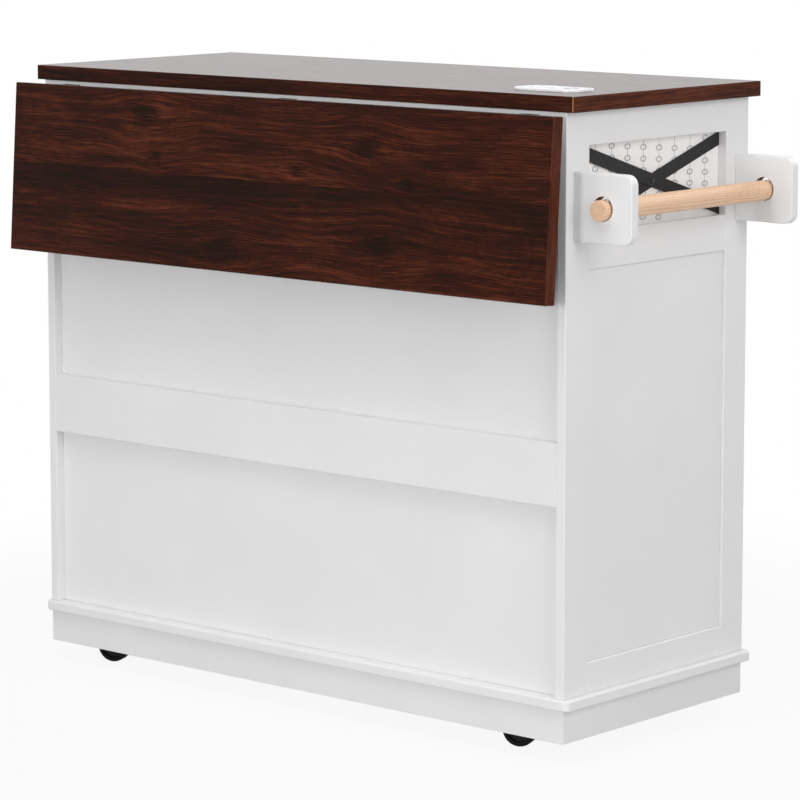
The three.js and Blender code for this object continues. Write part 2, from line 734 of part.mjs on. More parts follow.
// A channel screwed to the back rail, whose cheeks carry the leaf's pin and, below it, the strut's.
function wallPlate(middle, hasStrut) {
  const top = pivotZ + BRACKET_PLATE_TOP;
  const bottom = pivotZ - STRUT_DROP - BRACKET_PLATE_BELOW_STRUT;
  const outerEdge = pivotY - BRACKET_CHEEK_DEPTH;
  const x = [middle - plateHalf, middle + plateHalf];
  const plate = block(x, [backFace - BRACKET_STEEL, backFace], [bottom, top]);
  const cheek = outline([
    [backFace, bottom],
    [backFace, top],
    [outerEdge + BRACKET_CHEEK_DEPTH, top],
    [outerEdge, top - BRACKET_CHEEK_DEPTH],
    [outerEdge, bottom + BRACKET_CHEEK_DEPTH],
    [outerEdge + BRACKET_CHEEK_DEPTH, bottom],
  ]);
  const cheeks = [-1, 1].map((side) => {
    const faces = span(side, plateHalf - BRACKET_STEEL, plateHalf).map((value) => middle + value);
    return extrudeX(cheek, ...faces);
  });
  const pinEnds = [x[0] - 2, x[1] + 2];
  const pins = [extrudeX(circle(pivotY, pivotZ, BRACKET_PIN_RADIUS, 16), ...pinEnds)];
  if (hasStrut) {
    pins.push(extrudeX(circle(pivotY, pivotZ - STRUT_DROP, BRACKET_PIN_RADIUS, 16), ...pinEnds));
  }
  return joined(plate, ...cheeks, ...pins);
}

// The strut holds the raised leaf. It is drawn along -Y from its own pin, whose axis is the origin.
function strut(middle) {
  const half = STRUT_THICKNESS / 2;
  const link = outline([
    ...arc(0, 0, STRUT_EYE_RADIUS, -157.5, 157.5, 14),
    [-STRUT_LENGTH + STRUT_EYE_RADIUS, half],
    ...arc(-STRUT_LENGTH, 0, STRUT_EYE_RADIUS, 22.5, 337.5, 14),
    [-STRUT_EYE_RADIUS, -half],
  ]);
  link.holes.push(circle(0, 0, pinHoleRadius, 16));
  return extrudeX(link, middle - STRUT_WIDTH / 2, middle + STRUT_WIDTH / 2);
}

// The strut leans as far as brings its free end onto the arm's centre line.
const strutLean = Math.asin((STRUT_DROP / STRUT_LENGTH) * Math.sin(hangAngle));
const strutGroup = new THREE.Group();
strutGroup.position.set(0, pivotY, pivotZ - STRUT_DROP);
strutGroup.rotation.x = Math.PI / 2 - hangAngle - strutLean;
island.add(strutGroup);

for (const [side, step] of [["left", -1], ["middle", 0], ["right", 1]]) {
  const middle = step * (endFace - BRACKET_FROM_END);
  const hasStrut = step !== 0;
  place(island, `leaf_bracket_plate_${side}`, "black_steel", wallPlate(middle, hasStrut));
  place(leafGroup, `leaf_bracket_arm_${side}`, "black_steel", arm(middle));
  if (hasStrut) place(strutGroup, `leaf_bracket_strut_${side}`, "black_steel", strut(middle));
}

// ---- Towel rail ----

const towelTop = worktopBottom - TOWEL_BRACKET_DROP;
const towelBottom = towelTop - TOWEL_BRACKET_HEIGHT;
const towelHoleX = endFace + TOWEL_HOLE_REACH;
const towelHoleZ = (towelTop + towelBottom) / 2;
const TOWEL_HOLE_SIDES = 24;

function towelBracket(y0, y1) {
  const radius = TOWEL_BRACKET_CORNER;
  const centreX = endFace + TOWEL_BRACKET_REACH - radius;
  const side = outline([
    [towelBottom, endFace],
    ...arc(towelBottom + radius, centreX, radius, 180, 90, 6),
    ...arc(towelTop - radius, centreX, radius, 90, 0, 6),
    [towelTop, endFace],
  ]);
  side.holes.push(circle(towelHoleZ, towelHoleX, TOWEL_HOLE_RADIUS, TOWEL_HOLE_SIDES));
  return extrudeY(side, y0, y1);
}

const towelOuter = frontFace - TOWEL_BRACKET_INSET;
const towelInner = towelOuter - BOARD;
place(island, "towel_bracket_back", "white_mdf", towelBracket(-towelOuter, -towelInner));
place(island, "towel_bracket_front", "white_mdf", towelBracket(towelInner, towelOuter));

// The bar is thinner than its holes and lies on the bottom of them.
const holeFlat = TOWEL_HOLE_RADIUS * Math.cos(Math.PI / TOWEL_HOLE_SIDES);
const barZ = towelHoleZ - (holeFlat - TOWEL_BAR_RADIUS - TOWEL_BAR_CLEARANCE);
const barEnd = towelOuter + TOWEL_BAR_OVERHANG;
const bar = place(
  island,
  "towel_bar",
  "beech",
  extrudeY(circle(0, 0, TOWEL_BAR_RADIUS, TOWEL_HOLE_SIDES), -barEnd, barEnd),
);
bar.position.set(towelHoleX, 0, barZ);

// ---- Casters ----
// Each is drawn about its stem, with the floor at z = 0 and the wheel trailing along +X.

const crownBottom = 2 * WHEEL_RADIUS + FORK_CROWN_GAP;
const crownTop = crownBottom + FORK_STEEL;
const legInner = WHEEL_WIDTH / 2 + FORK_SIDE_GAP;
const legOuter = legInner + FORK_STEEL;

// Stem, swivel race and yoke, with the axle through both legs.
function fork() {
  const discTop = baseBottom - CASTER_CLEARANCE;
  const discBottom = discTop - FORK_DISC_HEIGHT;
  const heel = -FORK_RACE_RADIUS;
  const toe = CASTER_TRAIL + AXLE_RADIUS;
  const leg = outline([
    [crownTop, heel],
    [crownBottom - FORK_CROWN_GAP, heel],
    ...arc(WHEEL_RADIUS, CASTER_TRAIL, 2.5 * AXLE_RADIUS, 240, 120, 8),
    [crownTop, toe],
  ]);
  const legs = [-1, 1].map((side) => extrudeY(leg, ...span(side, legInner, legOuter)));
  return joined(
    extrudeZ(circle(0, 0, STEM_RADIUS, 16), discBottom, baseBottom + STEM_LENGTH),
    extrudeZ(circle(0, 0, FORK_DISC_RADIUS, 24), discBottom, discTop),
    extrudeZ(circle(0, 0, FORK_RACE_RADIUS, 24), crownBottom, discBottom),
    block([heel, toe], [-legOuter, legOuter], [crownBottom, crownTop]),
    ...legs,
    extrudeY(circle(WHEEL_RADIUS, CASTER_TRAIL, AXLE_RADIUS, 16), -legOuter - 1, legOuter + 1),
  );
}

// Hub, web and tyre turned about the axle.
function wheel() {
  const half = WHEEL_WIDTH / 2;
  const web = half - WHEEL_WEB_INSET;
  const tyreInner = WHEEL_RADIUS - TYRE_DEPTH;
  const shoulder = WHEEL_RADIUS - TYRE_SHOULDER / 2;
  const side = [
    [WHEEL_BORE_RADIUS, half],
    [WHEEL_HUB_RADIUS, half],
    [WHEEL_HUB_RADIUS, web],
    [tyreInner, web],
    [tyreInner, half],
    [shoulder, half],
    [WHEEL_RADIUS, half - TYRE_SHOULDER],
  ];
  const mirrored = side.map(([radius, y]) => [radius, -y]).reverse();
  const profile = [...side, ...mirrored, side[0]].reverse();
  return new THREE.LatheGeometry(profile.map(([radius, y]) => new THREE.Vector2(radius, y)), 24);
}

for (const { name, x, y } of casters) {
  const caster = new THREE.Group();
  caster.position.set(x, y, 0);
  caster.rotation.z = THREE.MathUtils.degToRad(CASTER_HEADING);
  island.add(caster);
  place(caster, `caster_${name}_fork`, "zinc_steel", fork());
  const turning = place(caster, `caster_${name}_wheel`, "black_rubber", wheel());
  turning.position.set(CASTER_TRAIL, 0, WHEEL_RADIUS);
}

// ---- Origin at the bottom centre of the whole island ----

island.updateMatrixWorld(true);
const middle = new THREE.Box3().setFromObject(island, true).getCenter(new THREE.Vector3());
island.position.set(-snap(middle.x), -snap(middle.y), 0);

export default island;
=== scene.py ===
import json
import math

import bmesh
import bpy
from mathutils import Matrix, Vector


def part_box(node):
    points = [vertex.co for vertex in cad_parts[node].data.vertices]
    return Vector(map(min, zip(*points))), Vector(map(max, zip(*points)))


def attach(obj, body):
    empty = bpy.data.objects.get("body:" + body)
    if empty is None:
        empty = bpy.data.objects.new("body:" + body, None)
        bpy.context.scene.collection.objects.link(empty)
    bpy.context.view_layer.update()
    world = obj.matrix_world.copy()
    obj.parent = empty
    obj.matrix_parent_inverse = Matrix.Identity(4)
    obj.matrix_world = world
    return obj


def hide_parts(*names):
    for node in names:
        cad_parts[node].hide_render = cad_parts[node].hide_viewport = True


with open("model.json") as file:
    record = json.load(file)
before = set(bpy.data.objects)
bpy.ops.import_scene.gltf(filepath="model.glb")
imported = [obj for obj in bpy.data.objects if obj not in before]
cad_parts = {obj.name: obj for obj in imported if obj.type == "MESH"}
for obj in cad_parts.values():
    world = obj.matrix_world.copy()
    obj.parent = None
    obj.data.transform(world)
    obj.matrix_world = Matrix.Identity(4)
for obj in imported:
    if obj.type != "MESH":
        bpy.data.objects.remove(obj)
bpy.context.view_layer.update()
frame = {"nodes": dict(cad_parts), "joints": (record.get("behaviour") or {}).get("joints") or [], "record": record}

bpy.context.scene.view_settings.view_transform = "Standard"

# ---- Camera ----
# A long lens beyond the corner where the drop leaf's side meets the towel-rail end, set a little
# higher than the worktop.
MM = 0.001
LENS = 164.27
SENSOR = 36
SHIFT_Y = -0.1
SEEN_TO = 50
CAMERA_YAW = 41.05
CAMERA_PITCH = 7.60
CAMERA_AT = Vector((3547.9, -4073.6, 1287.1)) * MM

camera_data = bpy.data.cameras.new("camera")
camera_data.lens = LENS
camera_data.sensor_width = SENSOR
camera_data.shift_y = SHIFT_Y
camera_data.clip_end = SEEN_TO
camera = bpy.data.objects.new("camera", camera_data)
camera.location = CAMERA_AT
camera.rotation_euler = (math.radians(90 - CAMERA_PITCH), 0, math.radians(CAMERA_YAW))
bpy.context.scene.collection.objects.link(camera)
bpy.context.scene.camera = camera

# ---- White boards ----
# Carcass, doors and drawers are 15 mm medium density fibreboard with a sprayed white satin lacquer.
# It gives the eye an even soft sheen with a fine orange peel and very slight clouding.
LACQUER_WHITE = "#ececec"
LACQUER_CLOUD = "#e9e9ea"
ORANGE_PEEL = 1.8 * MM
CLOUD_SIZE = 180 * MM


def linear(hex_colour):
    channels = [int(hex_colour[i : i + 2], 16) / 255 for i in (1, 3, 5)]
    return [c / 12.92 if c <= 0.04045 else ((c + 0.055) / 1.055) ** 2.4 for c in channels] + [1]


def add_node(tree, kind, inputs=(), stops=(), **settings):
    """Adds one shader node with its settings and links. Its inputs are listed in the node's own order,
    or keyed by name or number. Each is a value, a socket, or a node whose first output is linked."""
    made = tree.nodes.new("ShaderNode" + kind)
    for name, value in settings.items():
        setattr(made, name, value)
    for place, value in inputs.items() if isinstance(inputs, dict) else enumerate(inputs):
        if isinstance(value, bpy.types.Node):
            value = value.outputs[0]
        if isinstance(value, bpy.types.NodeSocket):
            tree.links.new(value, made.inputs[place])
        else:
            made.inputs[place].default_value = value
    for index, (position, colour) in enumerate(stops):
        elements = made.color_ramp.elements
        element = elements[index] if index < 2 else elements.new(position)
        element.position = position
        element.color = linear(colour)
    return made


def new_material(name, colour, roughness, metallic=0.0, specular=0.5):
    material = bpy.data.materials.new(name)
    material.use_nodes = True
    material.diffuse_color = linear(colour)
    tree = material.node_tree
    shader = tree.nodes["Principled BSDF"]
    shader.inputs["Base Color"].default_value = linear(colour)
    shader.inputs["Roughness"].default_value = roughness
    shader.inputs["Metallic"].default_value = metallic
    shader.inputs["Specular IOR Level"].default_value = specular
    return material, tree, shader


def clouded(name, colours, cloud, grit, roughness, relief, metallic=0.0, specular=0.5):
    """A finish of two close colours in clouds of one size, with a fine grit of another size in its
    sheen and relief. The grit is a sixth of its width high."""
    material, tree, shader = new_material(name, colours[1], sum(roughness) / 2, metallic, specular)
    at = add_node(tree, "TexCoord").outputs["Object"]
    clouds = add_node(tree, "TexNoise", {"Vector": at, "Scale": 1 / cloud, "Detail": 3.0})
    tone = add_node(tree, "ValToRGB", [clouds], stops=[(0.33, colours[0]), (0.67, colours[1])])
    grain = add_node(tree, "TexNoise", {"Vector": at, "Scale": 1 / grit, "Detail": 2.0})
    sheen = add_node(tree, "MapRange", [grain, 0.0, 1.0, roughness[0], roughness[1]])
    bump = add_node(tree, "Bump", {"Height": grain, "Strength": relief, "Distance": grit / 6})
    for made, socket in ((tone, "Base Color"), (sheen, "Roughness"), (bump, "Normal")):
        tree.links.new(made.outputs[0], shader.inputs[socket])
    return material


def dress(material, *names):
    """Gives CAD nodes their finish."""
    for name in names:
        slots = frame["nodes"][name].data.materials
        slots.clear()
        slots.append(material)


lacquer = clouded(
    "white_satin_lacquer_on_mdf",
    (LACQUER_CLOUD, LACQUER_WHITE),
    cloud=CLOUD_SIZE,
    grit=ORANGE_PEEL,
    roughness=(0.38, 0.48),
    relief=0.08,
)
slot_of = {part["node"]: part["material_slot"] for part in frame["record"]["subparts"]}
dress(lacquer, *[name for name, slot in slot_of.items() if slot == "white_mdf"])

# ---- Base moulding ----
# The base board stands out past the carcass and the plinth as a moulding. Its edges are routed round
# and its corners rounded before it is lacquered, and it is drilled from below for the caster stems.
MOULDING_CORNER = 9 * MM
MOULDING_EDGE = 2.2 * MM
STEM_HOLE_RADIUS = 5.5 * MM
STEM_HOLE_DEPTH = 13 * MM
CUT_PAST = 1 * MM  # a cutting tool starts this far outside its piece
ALIGNED = 0.9  # cosine above which an edge or a face counts as lying along a direction


def settle(name, material):
    """Names the new object, gives it its finish, and moves its place and scale into its mesh."""
    piece = bpy.context.object
    piece.name = piece.data.name = name
    bpy.ops.object.transform_apply(location=True, rotation=True, scale=True)
    piece.data.materials.append(material)
    return piece


def block(name, material, low, high):
    """A block between two corners, ready to be shaped."""
    low, high = Vector(low), Vector(high)
    bpy.ops.object.select_all(action="DESELECT")
    bpy.ops.mesh.primitive_cube_add(size=1, location=(low + high) / 2, scale=high - low)
    return settle(name, material)


def rod(name, material, start, end, radius, sides=32):
    """A round bar between two points, ready to be shaped."""
    start, end = Vector(start), Vector(end)
    along = end - start
    bpy.ops.object.select_all(action="DESELECT")
    bpy.ops.mesh.primitive_cylinder_add(
        vertices=sides,
        radius=radius,
        depth=along.length,
        location=(start + end) / 2,
        rotation=along.to_track_quat("Z", "Y").to_euler(),
    )
    return settle(name, material)


def pick(piece, mode="OBJECT"):
    """Makes one piece the selected one, in object or edit mode."""
    bpy.ops.object.select_all(action="DESELECT")
    piece.select_set(True)
    bpy.context.view_layer.objects.active = piece
    bpy.ops.object.mode_set(mode=mode)


def close_edit():
    bpy.ops.object.mode_set(mode="OBJECT")


def choose(piece, kind, test):
    """In edit mode, selects the edges or faces that pass a test of their middle and direction."""
    bpy.ops.mesh.select_mode(type=kind)
    bpy.ops.mesh.select_all(action="DESELECT")
    mesh = bmesh.from_edit_mesh(piece.data)
    mesh.normal_update()
    for part in mesh.edges if kind == "EDGE" else mesh.faces:
        if kind == "EDGE":
            start, end = (corner.co for corner in part.verts)
            passed = test((start + end) / 2, (end - start).normalized())
        else:
            passed = test(part.calc_center_median(), part.normal)
        part.select_set(bool(passed))
    mesh.select_flush_mode()
    bmesh.update_edit_mesh(piece.data)


def upright(middle, along):
    """Passes the edges that stand upright."""
    return abs(along.z) > ALIGNED


def round_edges(piece, radius, segments, test):
    """Rounds the edges that pass a test of their middle and direction."""
    pick(piece, "EDIT")
    choose(piece, "EDGE", test)
    bpy.ops.mesh.bevel(offset=radius, segments=segments, affect="EDGES")
    close_edit()


def apply(piece, kind, **settings):
    """Adds a modifier to a piece and applies it."""
    pick(piece)
    modifier = piece.modifiers.new(kind.lower(), kind)
    for name, value in settings.items():
        setattr(modifier, name, value)
    bpy.ops.object.modifier_apply(modifier=modifier.name)


def smooth(piece, under=35):
    """Shades round faces smooth and keeps broad flat ones flat to the light."""
    pick(piece)
    bpy.ops.object.shade_smooth_by_angle(angle=math.radians(under))
    apply(piece, "WEIGHTED_NORMAL", keep_sharp=True, weight=100)


def ease_edges(piece, radius, segments=3, over=30):
    """Rounds every edge sharper than an angle, and smooths the faces between them."""
    limit = {"limit_method": "ANGLE", "angle_limit": math.radians(over)}
    apply(piece, "BEVEL", width=radius, segments=segments, **limit)
    smooth(piece)


def join(name, *pieces):
    """Makes one piece of several, with the first one's place in the list of objects."""
    bpy.ops.object.select_all(action="DESELECT")
    for piece in pieces:
        piece.select_set(True)
    bpy.context.view_layer.objects.active = pieces[0]
    if len(pieces) > 1:
        bpy.ops.object.join()
    pieces[0].name = pieces[0].data.name = name
    return pieces[0]


def discard(*pieces):
    for piece in pieces:
        bpy.data.objects.remove(piece, do_unlink=True)


def drill(piece, *tools):
    """Cuts tools out of a piece and removes them. The walls of a cut take its tool's finish."""
    tool = join("tool", *tools)
    cut = {"operation": "DIFFERENCE", "solver": "EXACT", "material_mode": "TRANSFER"}
    apply(piece, "BOOLEAN", object=tool, **cut)
    discard(tool)


def hand_over(piece, slot, body, *nodes):
    """Gives a finished piece its body and hides the CAD nodes that it stands for. The slot argument is not used.
    """
    if nodes:
        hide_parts(*nodes)
    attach(piece, body)


CASTERS = [f"{end}_{side}" for end in ("left", "right") for side in ("back", "front")]
joints = {joint["name"]: joint for joint in frame["joints"]}
base_low, base_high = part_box("base_board")
moulding = block("base_moulding", lacquer, base_low, base_high)
round_edges(moulding, MOULDING_CORNER, segments=6, test=upright)
ease_edges(moulding, MOULDING_EDGE, segments=4, over=60)
stem_holes = []
for corner in CASTERS:
    stem = Vector(joints[f"caster_{corner}_swivel"]["pos_m"]).xy
    hole_foot, hole_top = (*stem, base_low.z - CUT_PAST), (*stem, base_low.z + STEM_HOLE_DEPTH)
    stem_holes.append(rod("stem_hole", lacquer, hole_foot, hole_top, STEM_HOLE_RADIUS))
drill(moulding, *stem_holes)
smooth(moulding)
hand_over(moulding, "white_mdf", "cabinet", "base_board")

# ---- Plinth ----
# Four boards under the moulding, mitred and glued at the corners, so they read as one ring once they
# are lacquered. They hide the casters down to the last part of the wheels.
PLINTH_EDGE = 0.8 * MM

plinth_nodes = [f"plinth_{side}" for side in ("back", "front", "left", "right")]
plinth_lows, plinth_highs = zip(*map(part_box, plinth_nodes))
plinth_low = Vector(map(min, zip(*plinth_lows)))
plinth_high = Vector(map(max, zip(*plinth_highs)))
plinth = block("plinth_mitred", lacquer, plinth_low, plinth_high)
pick(plinth, "EDIT")
choose(plinth, "FACE", lambda middle, normal: abs(normal.z) > ALIGNED)
bpy.ops.mesh.inset(thickness=plinth_highs[0].y - plinth_lows[0].y, depth=0, use_individual=True)
bpy.ops.mesh.bridge_edge_loops()
close_edit()
ease_edges(plinth, PLINTH_EDGE)
hand_over(plinth, "white_mdf", "cabinet", *plinth_nodes)

# ---- Window panels ----
# A thin hardboard panel fills each end's window from behind. It is embossed all over with a fine pebble and with
# hanging strings of low rings, each ring pierced by its string; their grey is painted shade for a relief too low
# to shade itself.
PEBBLE = 2.4 * MM
PEBBLE_RELIEF = 0.4 * MM
FLECK = 1.5 * MM
FLECK_GREY = "#dadadc"
# The panel is whiter than the lacquer: painted light that lifts the shade of the recess it sits in.
PANEL_WHITE_PAINTED_LIGHT = "#fcfcfc"
STRING_SPACING = 36.4 * MM
STRING_COUNT = 8
STRING_WIDTH = 1.0 * MM
STRING_EDGE = 0.1 * MM
STRING_END = 1 * MM  # from the window's top to a string's top, and from its last ring down to its end
STRING_STEP = 3.1 * MM  # each string's rings hang this much lower than the string before
RING_SPACING = 16.4 * MM
RING_COUNT = 8
RING_WIDTH = 15 * MM
RING_HEIGHT = 9 * MM
RING_LINE = 1.8 * MM
RING_FROM_TOP = 2.6 * MM  # first ring's middle below the window's top, on the first string
RING_FROM_FOOT = 2 * MM  # no ring's edge is nearer to the window's foot
RING_RELIEF = 0.18 * MM


def copy_placed(piece, name, matrix):
    """A copy with its own mesh, moved, turned or mirrored by a matrix."""
    twin = piece.copy()
    twin.data = piece.data.copy()
    twin.name = twin.data.name = name
    twin.data.transform(matrix)
    if matrix.determinant() < 0:
        twin.data.flip_normals()
    bpy.context.scene.collection.objects.link(twin)
    return twin


def pebbled_hardboard():
    material, tree, shader = new_material("white_pebbled_hardboard", LACQUER_WHITE, 0.5)
    at = add_node(tree, "TexCoord").outputs["Object"]
    pebbles = add_node(tree, "TexVoronoi", {"Vector": at, "Scale": 1 / PEBBLE}, feature="SMOOTH_F1")
    flecks = add_node(tree, "TexNoise", {"Vector": at, "Scale": 1 / FLECK, "Detail": 2.0})
    # Between the flecks the panel is painted lighter, as painted light for its shaded recess.
    tone = add_node(tree, "ValToRGB", [flecks], stops=[(0.28, FLECK_GREY), (0.4, PANEL_WHITE_PAINTED_LIGHT)])
    tree.links.new(tone.outputs[0], shader.inputs["Base Color"])
    bump = add_node(tree, "Bump", {"Height": pebbles, "Strength": 0.3, "Distance": PEBBLE_RELIEF})
    tree.links.new(bump.outputs[0], shader.inputs["Normal"])
    return material


hardboard = pebbled_hardboard()
# The rings and strings are painted grey, as painted shade for their low relief; the grey varies at random in
# clouds.
ring_shade_grey = clouded(
    "grey_painted_relief_shade", ("#a8a8aa", "#c8c8ca"), cloud=6 * MM, grit=1 * MM, roughness=(0.5, 0.65), relief=0.1
)
end_middle_x = (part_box("end_left_frame")[0].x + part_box("end_right_stile_back")[1].x) / 2
mirrored = Matrix.Scale(-1, 4, Vector((1, 0, 0)))
to_left_end = Matrix.Translation((2 * end_middle_x, 0, 0)) @ mirrored

rail_low, rail_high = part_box("end_right_rail_top")
panel_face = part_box("end_right_window_panel")[1].x
window_low = Vector((panel_face, rail_low.y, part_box("end_right_rail_middle")[1].z))
window_high = Vector((panel_face, rail_high.y, rail_low.z))
window_middle = (window_low + window_high) / 2

bpy.ops.object.select_all(action="DESELECT")
bpy.ops.mesh.primitive_torus_add(
    major_radius=(RING_HEIGHT - RING_LINE) / 2,
    minor_radius=RING_LINE / 2,
    major_segments=20,
    minor_segments=6,
    rotation=(0, math.pi / 2, 0),
)
bpy.context.object.scale = (1, RING_WIDTH / RING_HEIGHT, 1)
ring = settle("ring", ring_shade_grey)
ring.data.transform(Matrix.Scale(2 * RING_RELIEF / RING_LINE, 4, Vector((1, 0, 0))))

strings = []
first_string = window_middle.y - STRING_SPACING * (STRING_COUNT - 1) / 2
for column in range(STRING_COUNT):
    y = first_string + column * STRING_SPACING
    string_top = window_high.z - STRING_END
    last = string_top
    for row in range(RING_COUNT):
        hang = RING_FROM_TOP + column * STRING_STEP % RING_SPACING + row * RING_SPACING
        z = window_high.z - hang
        if z + RING_HEIGHT / 2 > string_top:
            continue
        if z - RING_HEIGHT / 2 < window_low.z + RING_FROM_FOOT:
            break
        strings.append(copy_placed(ring, "ring", Matrix.Translation((window_low.x, y, z))))
        last = z
    low = (window_low.x - RING_RELIEF, y - STRING_WIDTH / 2, last - STRING_END)
    high = (window_low.x + RING_RELIEF, y + STRING_WIDTH / 2, string_top)
    string = block("string", ring_shade_grey, low, high)
    round_edges(string, STRING_EDGE, segments=1, test=upright)
    strings.append(string)
discard(ring)
beading = join("window_beading_right", *strings)
smooth(beading)
hand_over(copy_placed(beading, "window_beading_left", to_left_end), "white_mdf", "cabinet")
hand_over(beading, "white_mdf", "cabinet")
dress(hardboard, "end_right_window_panel", "end_left_window_panel")

# ---- Window braces ----
# Two flat steel bars cross in front of each window panel and are clinched by a hollow rivet. They
# are punched from strip and powder coated in matt black, which leaves a very fine grit.
BAR_WIDTH = 19 * MM
BAR_THICKNESS = 1.5 * MM
BAR_EDGE = 0.3 * MM
RIVET_RADIUS = 3.7 * MM
RIVET_RISE = 1 * MM
HEAD_SUNK = 0.2 * MM  # a head starts this far inside what it holds
HEAD_SHOULDER, HEAD_EASE = 0.3, 0.35  # shares of a head's radius and of its rise
DIMPLE_RIM, DIMPLE_WALL, DIMPLE_DEPTH = 0.2, 0.1, 0.5  # shares of a head's radius, radius and rise
POWDER_DARK = "#252526"
POWDER_BLACK = "#303031"
UP, FORWARD = Vector((0, 0, 1)), Vector((0, 1, 0))

powder_coat = clouded(
    "black_powder_coat_on_steel",
    (POWDER_DARK, POWDER_BLACK),
    cloud=3 * MM,
    grit=0.9 * MM,
    roughness=(0.42, 0.6),
    relief=0.3,
    specular=0.15,
)
# The rivet's oxide is thin, so the steel's own shine shows through its black.
black_oxide = clouded(
    "black_oxide_steel_rivet",
    ("#2e2e30", "#48484a"),
    cloud=2 * MM,
    grit=0.5 * MM,
    roughness=(0.26, 0.4),
    relief=0.1,
    metallic=0.6,
)


def facing(direction):
    """A test that passes the faces that look one way."""
    return lambda middle, normal: normal.dot(direction) > ALIGNED


def brace_bar(x, low, high, rising):
    """A flat bar from corner to corner of the window, its ends cut upright."""
    length, height = high.y - low.y, high.z - low.z
    end_height = BAR_WIDTH * math.hypot(length, height - BAR_WIDTH) / length
    bar = block("bar", powder_coat, (x, low.y, low.z), (x + BAR_THICKNESS, high.y, low.z + end_height))
    pick(bar, "EDIT")
    choose(bar, "FACE", facing(FORWARD if rising else -FORWARD))
    bpy.ops.transform.translate(value=(0, 0, height - end_height))
    close_edit()
    ease_edges(bar, BAR_EDGE, segments=2)
    return bar


def rivet_head(material, seat, outward, radius, rise, dimple=True):
    """A low round head on seat, with a dimple where it was clinched."""
    seat, outward = Vector(seat), Vector(outward).normalized()
    head = rod("head", material, seat - outward * HEAD_SUNK, seat + outward * rise, radius, sides=24)
    pick(head, "EDIT")
    choose(head, "FACE", facing(outward))
    bpy.ops.mesh.inset(thickness=radius * HEAD_SHOULDER, depth=0)
    if dimple:
        bpy.ops.mesh.inset(thickness=radius * DIMPLE_RIM, depth=0)
        bpy.ops.mesh.inset(thickness=radius * DIMPLE_WALL, depth=-rise * DIMPLE_DEPTH)
    close_edit()
    ease_edges(head, rise * HEAD_EASE, segments=3)
    return head


brace_low, brace_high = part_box("end_right_x_brace")
rivet_seat = (brace_low + brace_high) / 2
rivet_seat.x = brace_low.x + 2 * BAR_THICKNESS
brace = join(
    "window_brace_right",
    brace_bar(brace_low.x, brace_low, brace_high, True),
    brace_bar(brace_low.x + BAR_THICKNESS, brace_low, brace_high, False),
    rivet_head(black_oxide, rivet_seat, (1, 0, 0), RIVET_RADIUS, RIVET_RISE),
)
far_brace = copy_placed(brace, "window_brace_left", to_left_end)
hand_over(brace, "black_steel", "cabinet", "end_right_x_brace")
hand_over(far_brace, "black_steel", "cabinet", "end_left_x_brace")

# ---- Shelf pins, cam caps and door catches ----
# Inside the cabinet, pressed steel pins hold the shelf, plastic caps cover the cams that lock the deck
# to the ends, and a magnetic catch for each door is screwed under the deck.
PIN_RADIUS = 2.5 * MM
PIN_REACH = 9 * MM
PIN_EDGE = 0.5 * MM
PIN_FLANGE_RADIUS = 4 * MM
PIN_FLANGE = 1 * MM
PIN_FLANGE_EDGE = 0.3 * MM
PIN_FROM_BACK, PIN_FROM_FRONT = 45 * MM, 40 * MM
CAM_CAP_RADIUS = 8.5 * MM
CAM_CAP_RISE = 1.2 * MM
CAM_FROM_END = 34 * MM
CAM_FROM_BACK, CAM_FROM_FRONT = 60 * MM, 70 * MM
CATCH_SIZE = Vector((44, 16, 12)) * MM
CATCH_FROM_MIDDLE = 40 * MM
CATCH_FROM_DOOR = 0.6 * MM
CATCH_WALL = 2.5 * MM
CATCH_POCKET = 1 * MM
CATCH_EDGE = 0.8 * MM
MAGNET_INSET = Vector((5, 0.5, 4)) * MM
MAGNET_BACK = 6 * MM  # the magnet's back lies this far behind the catch's face
MAGNET_EDGE = 0.4 * MM
STRIKE_SIZE = Vector((18, 0.7, 7)) * MM
STRIKE_PROUD = 0.3 * MM
STRIKE_EDGE = 0.2 * MM

# Zinc plating gives a bright grey metal with a faint mottle.
zinc = clouded(
    "zinc_plated_steel",
    ("#85888b", "#a9abad"),
    cloud=5 * MM,
    grit=0.6 * MM,
    roughness=(0.24, 0.42),
    relief=0.08,
    metallic=1.0,
)
# Moulded ABS is an even cool white with a soft gloss.
abs_white = clouded(
    "white_moulded_abs",
    ("#eeeef2", "#f4f4f8"),
    cloud=40 * MM,
    grit=1.2 * MM,
    roughness=(0.26, 0.36),
    relief=0.05,
)
shelf_low, shelf_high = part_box("shelf")
deck_low, deck_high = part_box("drawer_deck")
origin = Vector((0, 0, 0))
shank = rod("shank", zinc, origin, (PIN_REACH, 0, 0), PIN_RADIUS, sides=24)
ease_edges(shank, PIN_EDGE)
flange = rod("flange", zinc, origin, (PIN_FLANGE, 0, 0), PIN_FLANGE_RADIUS, sides=24)
ease_edges(flange, PIN_FLANGE_EDGE, segments=2)
pin = join("pin", shank, flange)
cam_cap = rivet_head(abs_white, origin, -UP, CAM_CAP_RADIUS, CAM_CAP_RISE, dimple=False)
pins, cam_caps = [], []
for side, wall, turn in ((1, deck_low.x, 0), (-1, deck_high.x, math.pi)):
    for y in (shelf_low.y + PIN_FROM_BACK, shelf_high.y - PIN_FROM_FRONT):
        to_wall = Matrix.Translation((wall, y, shelf_low.z - PIN_RADIUS))
        pins.append(copy_placed(pin, "pin", to_wall @ Matrix.Rotation(turn, 4, "Z")))
    for y in (deck_low.y + CAM_FROM_BACK, deck_high.y - CAM_FROM_FRONT):
        to_seat = Matrix.Translation((wall + side * CAM_FROM_END, y, deck_low.z))
        cam_caps.append(copy_placed(cam_cap, "cam_cap", to_seat))
discard(pin, cam_cap)
hand_over(join("shelf_pins", *pins), "zinc_steel", "cabinet")
hand_over(join("cam_caps", *cam_caps), "white_plastic", "cabinet")

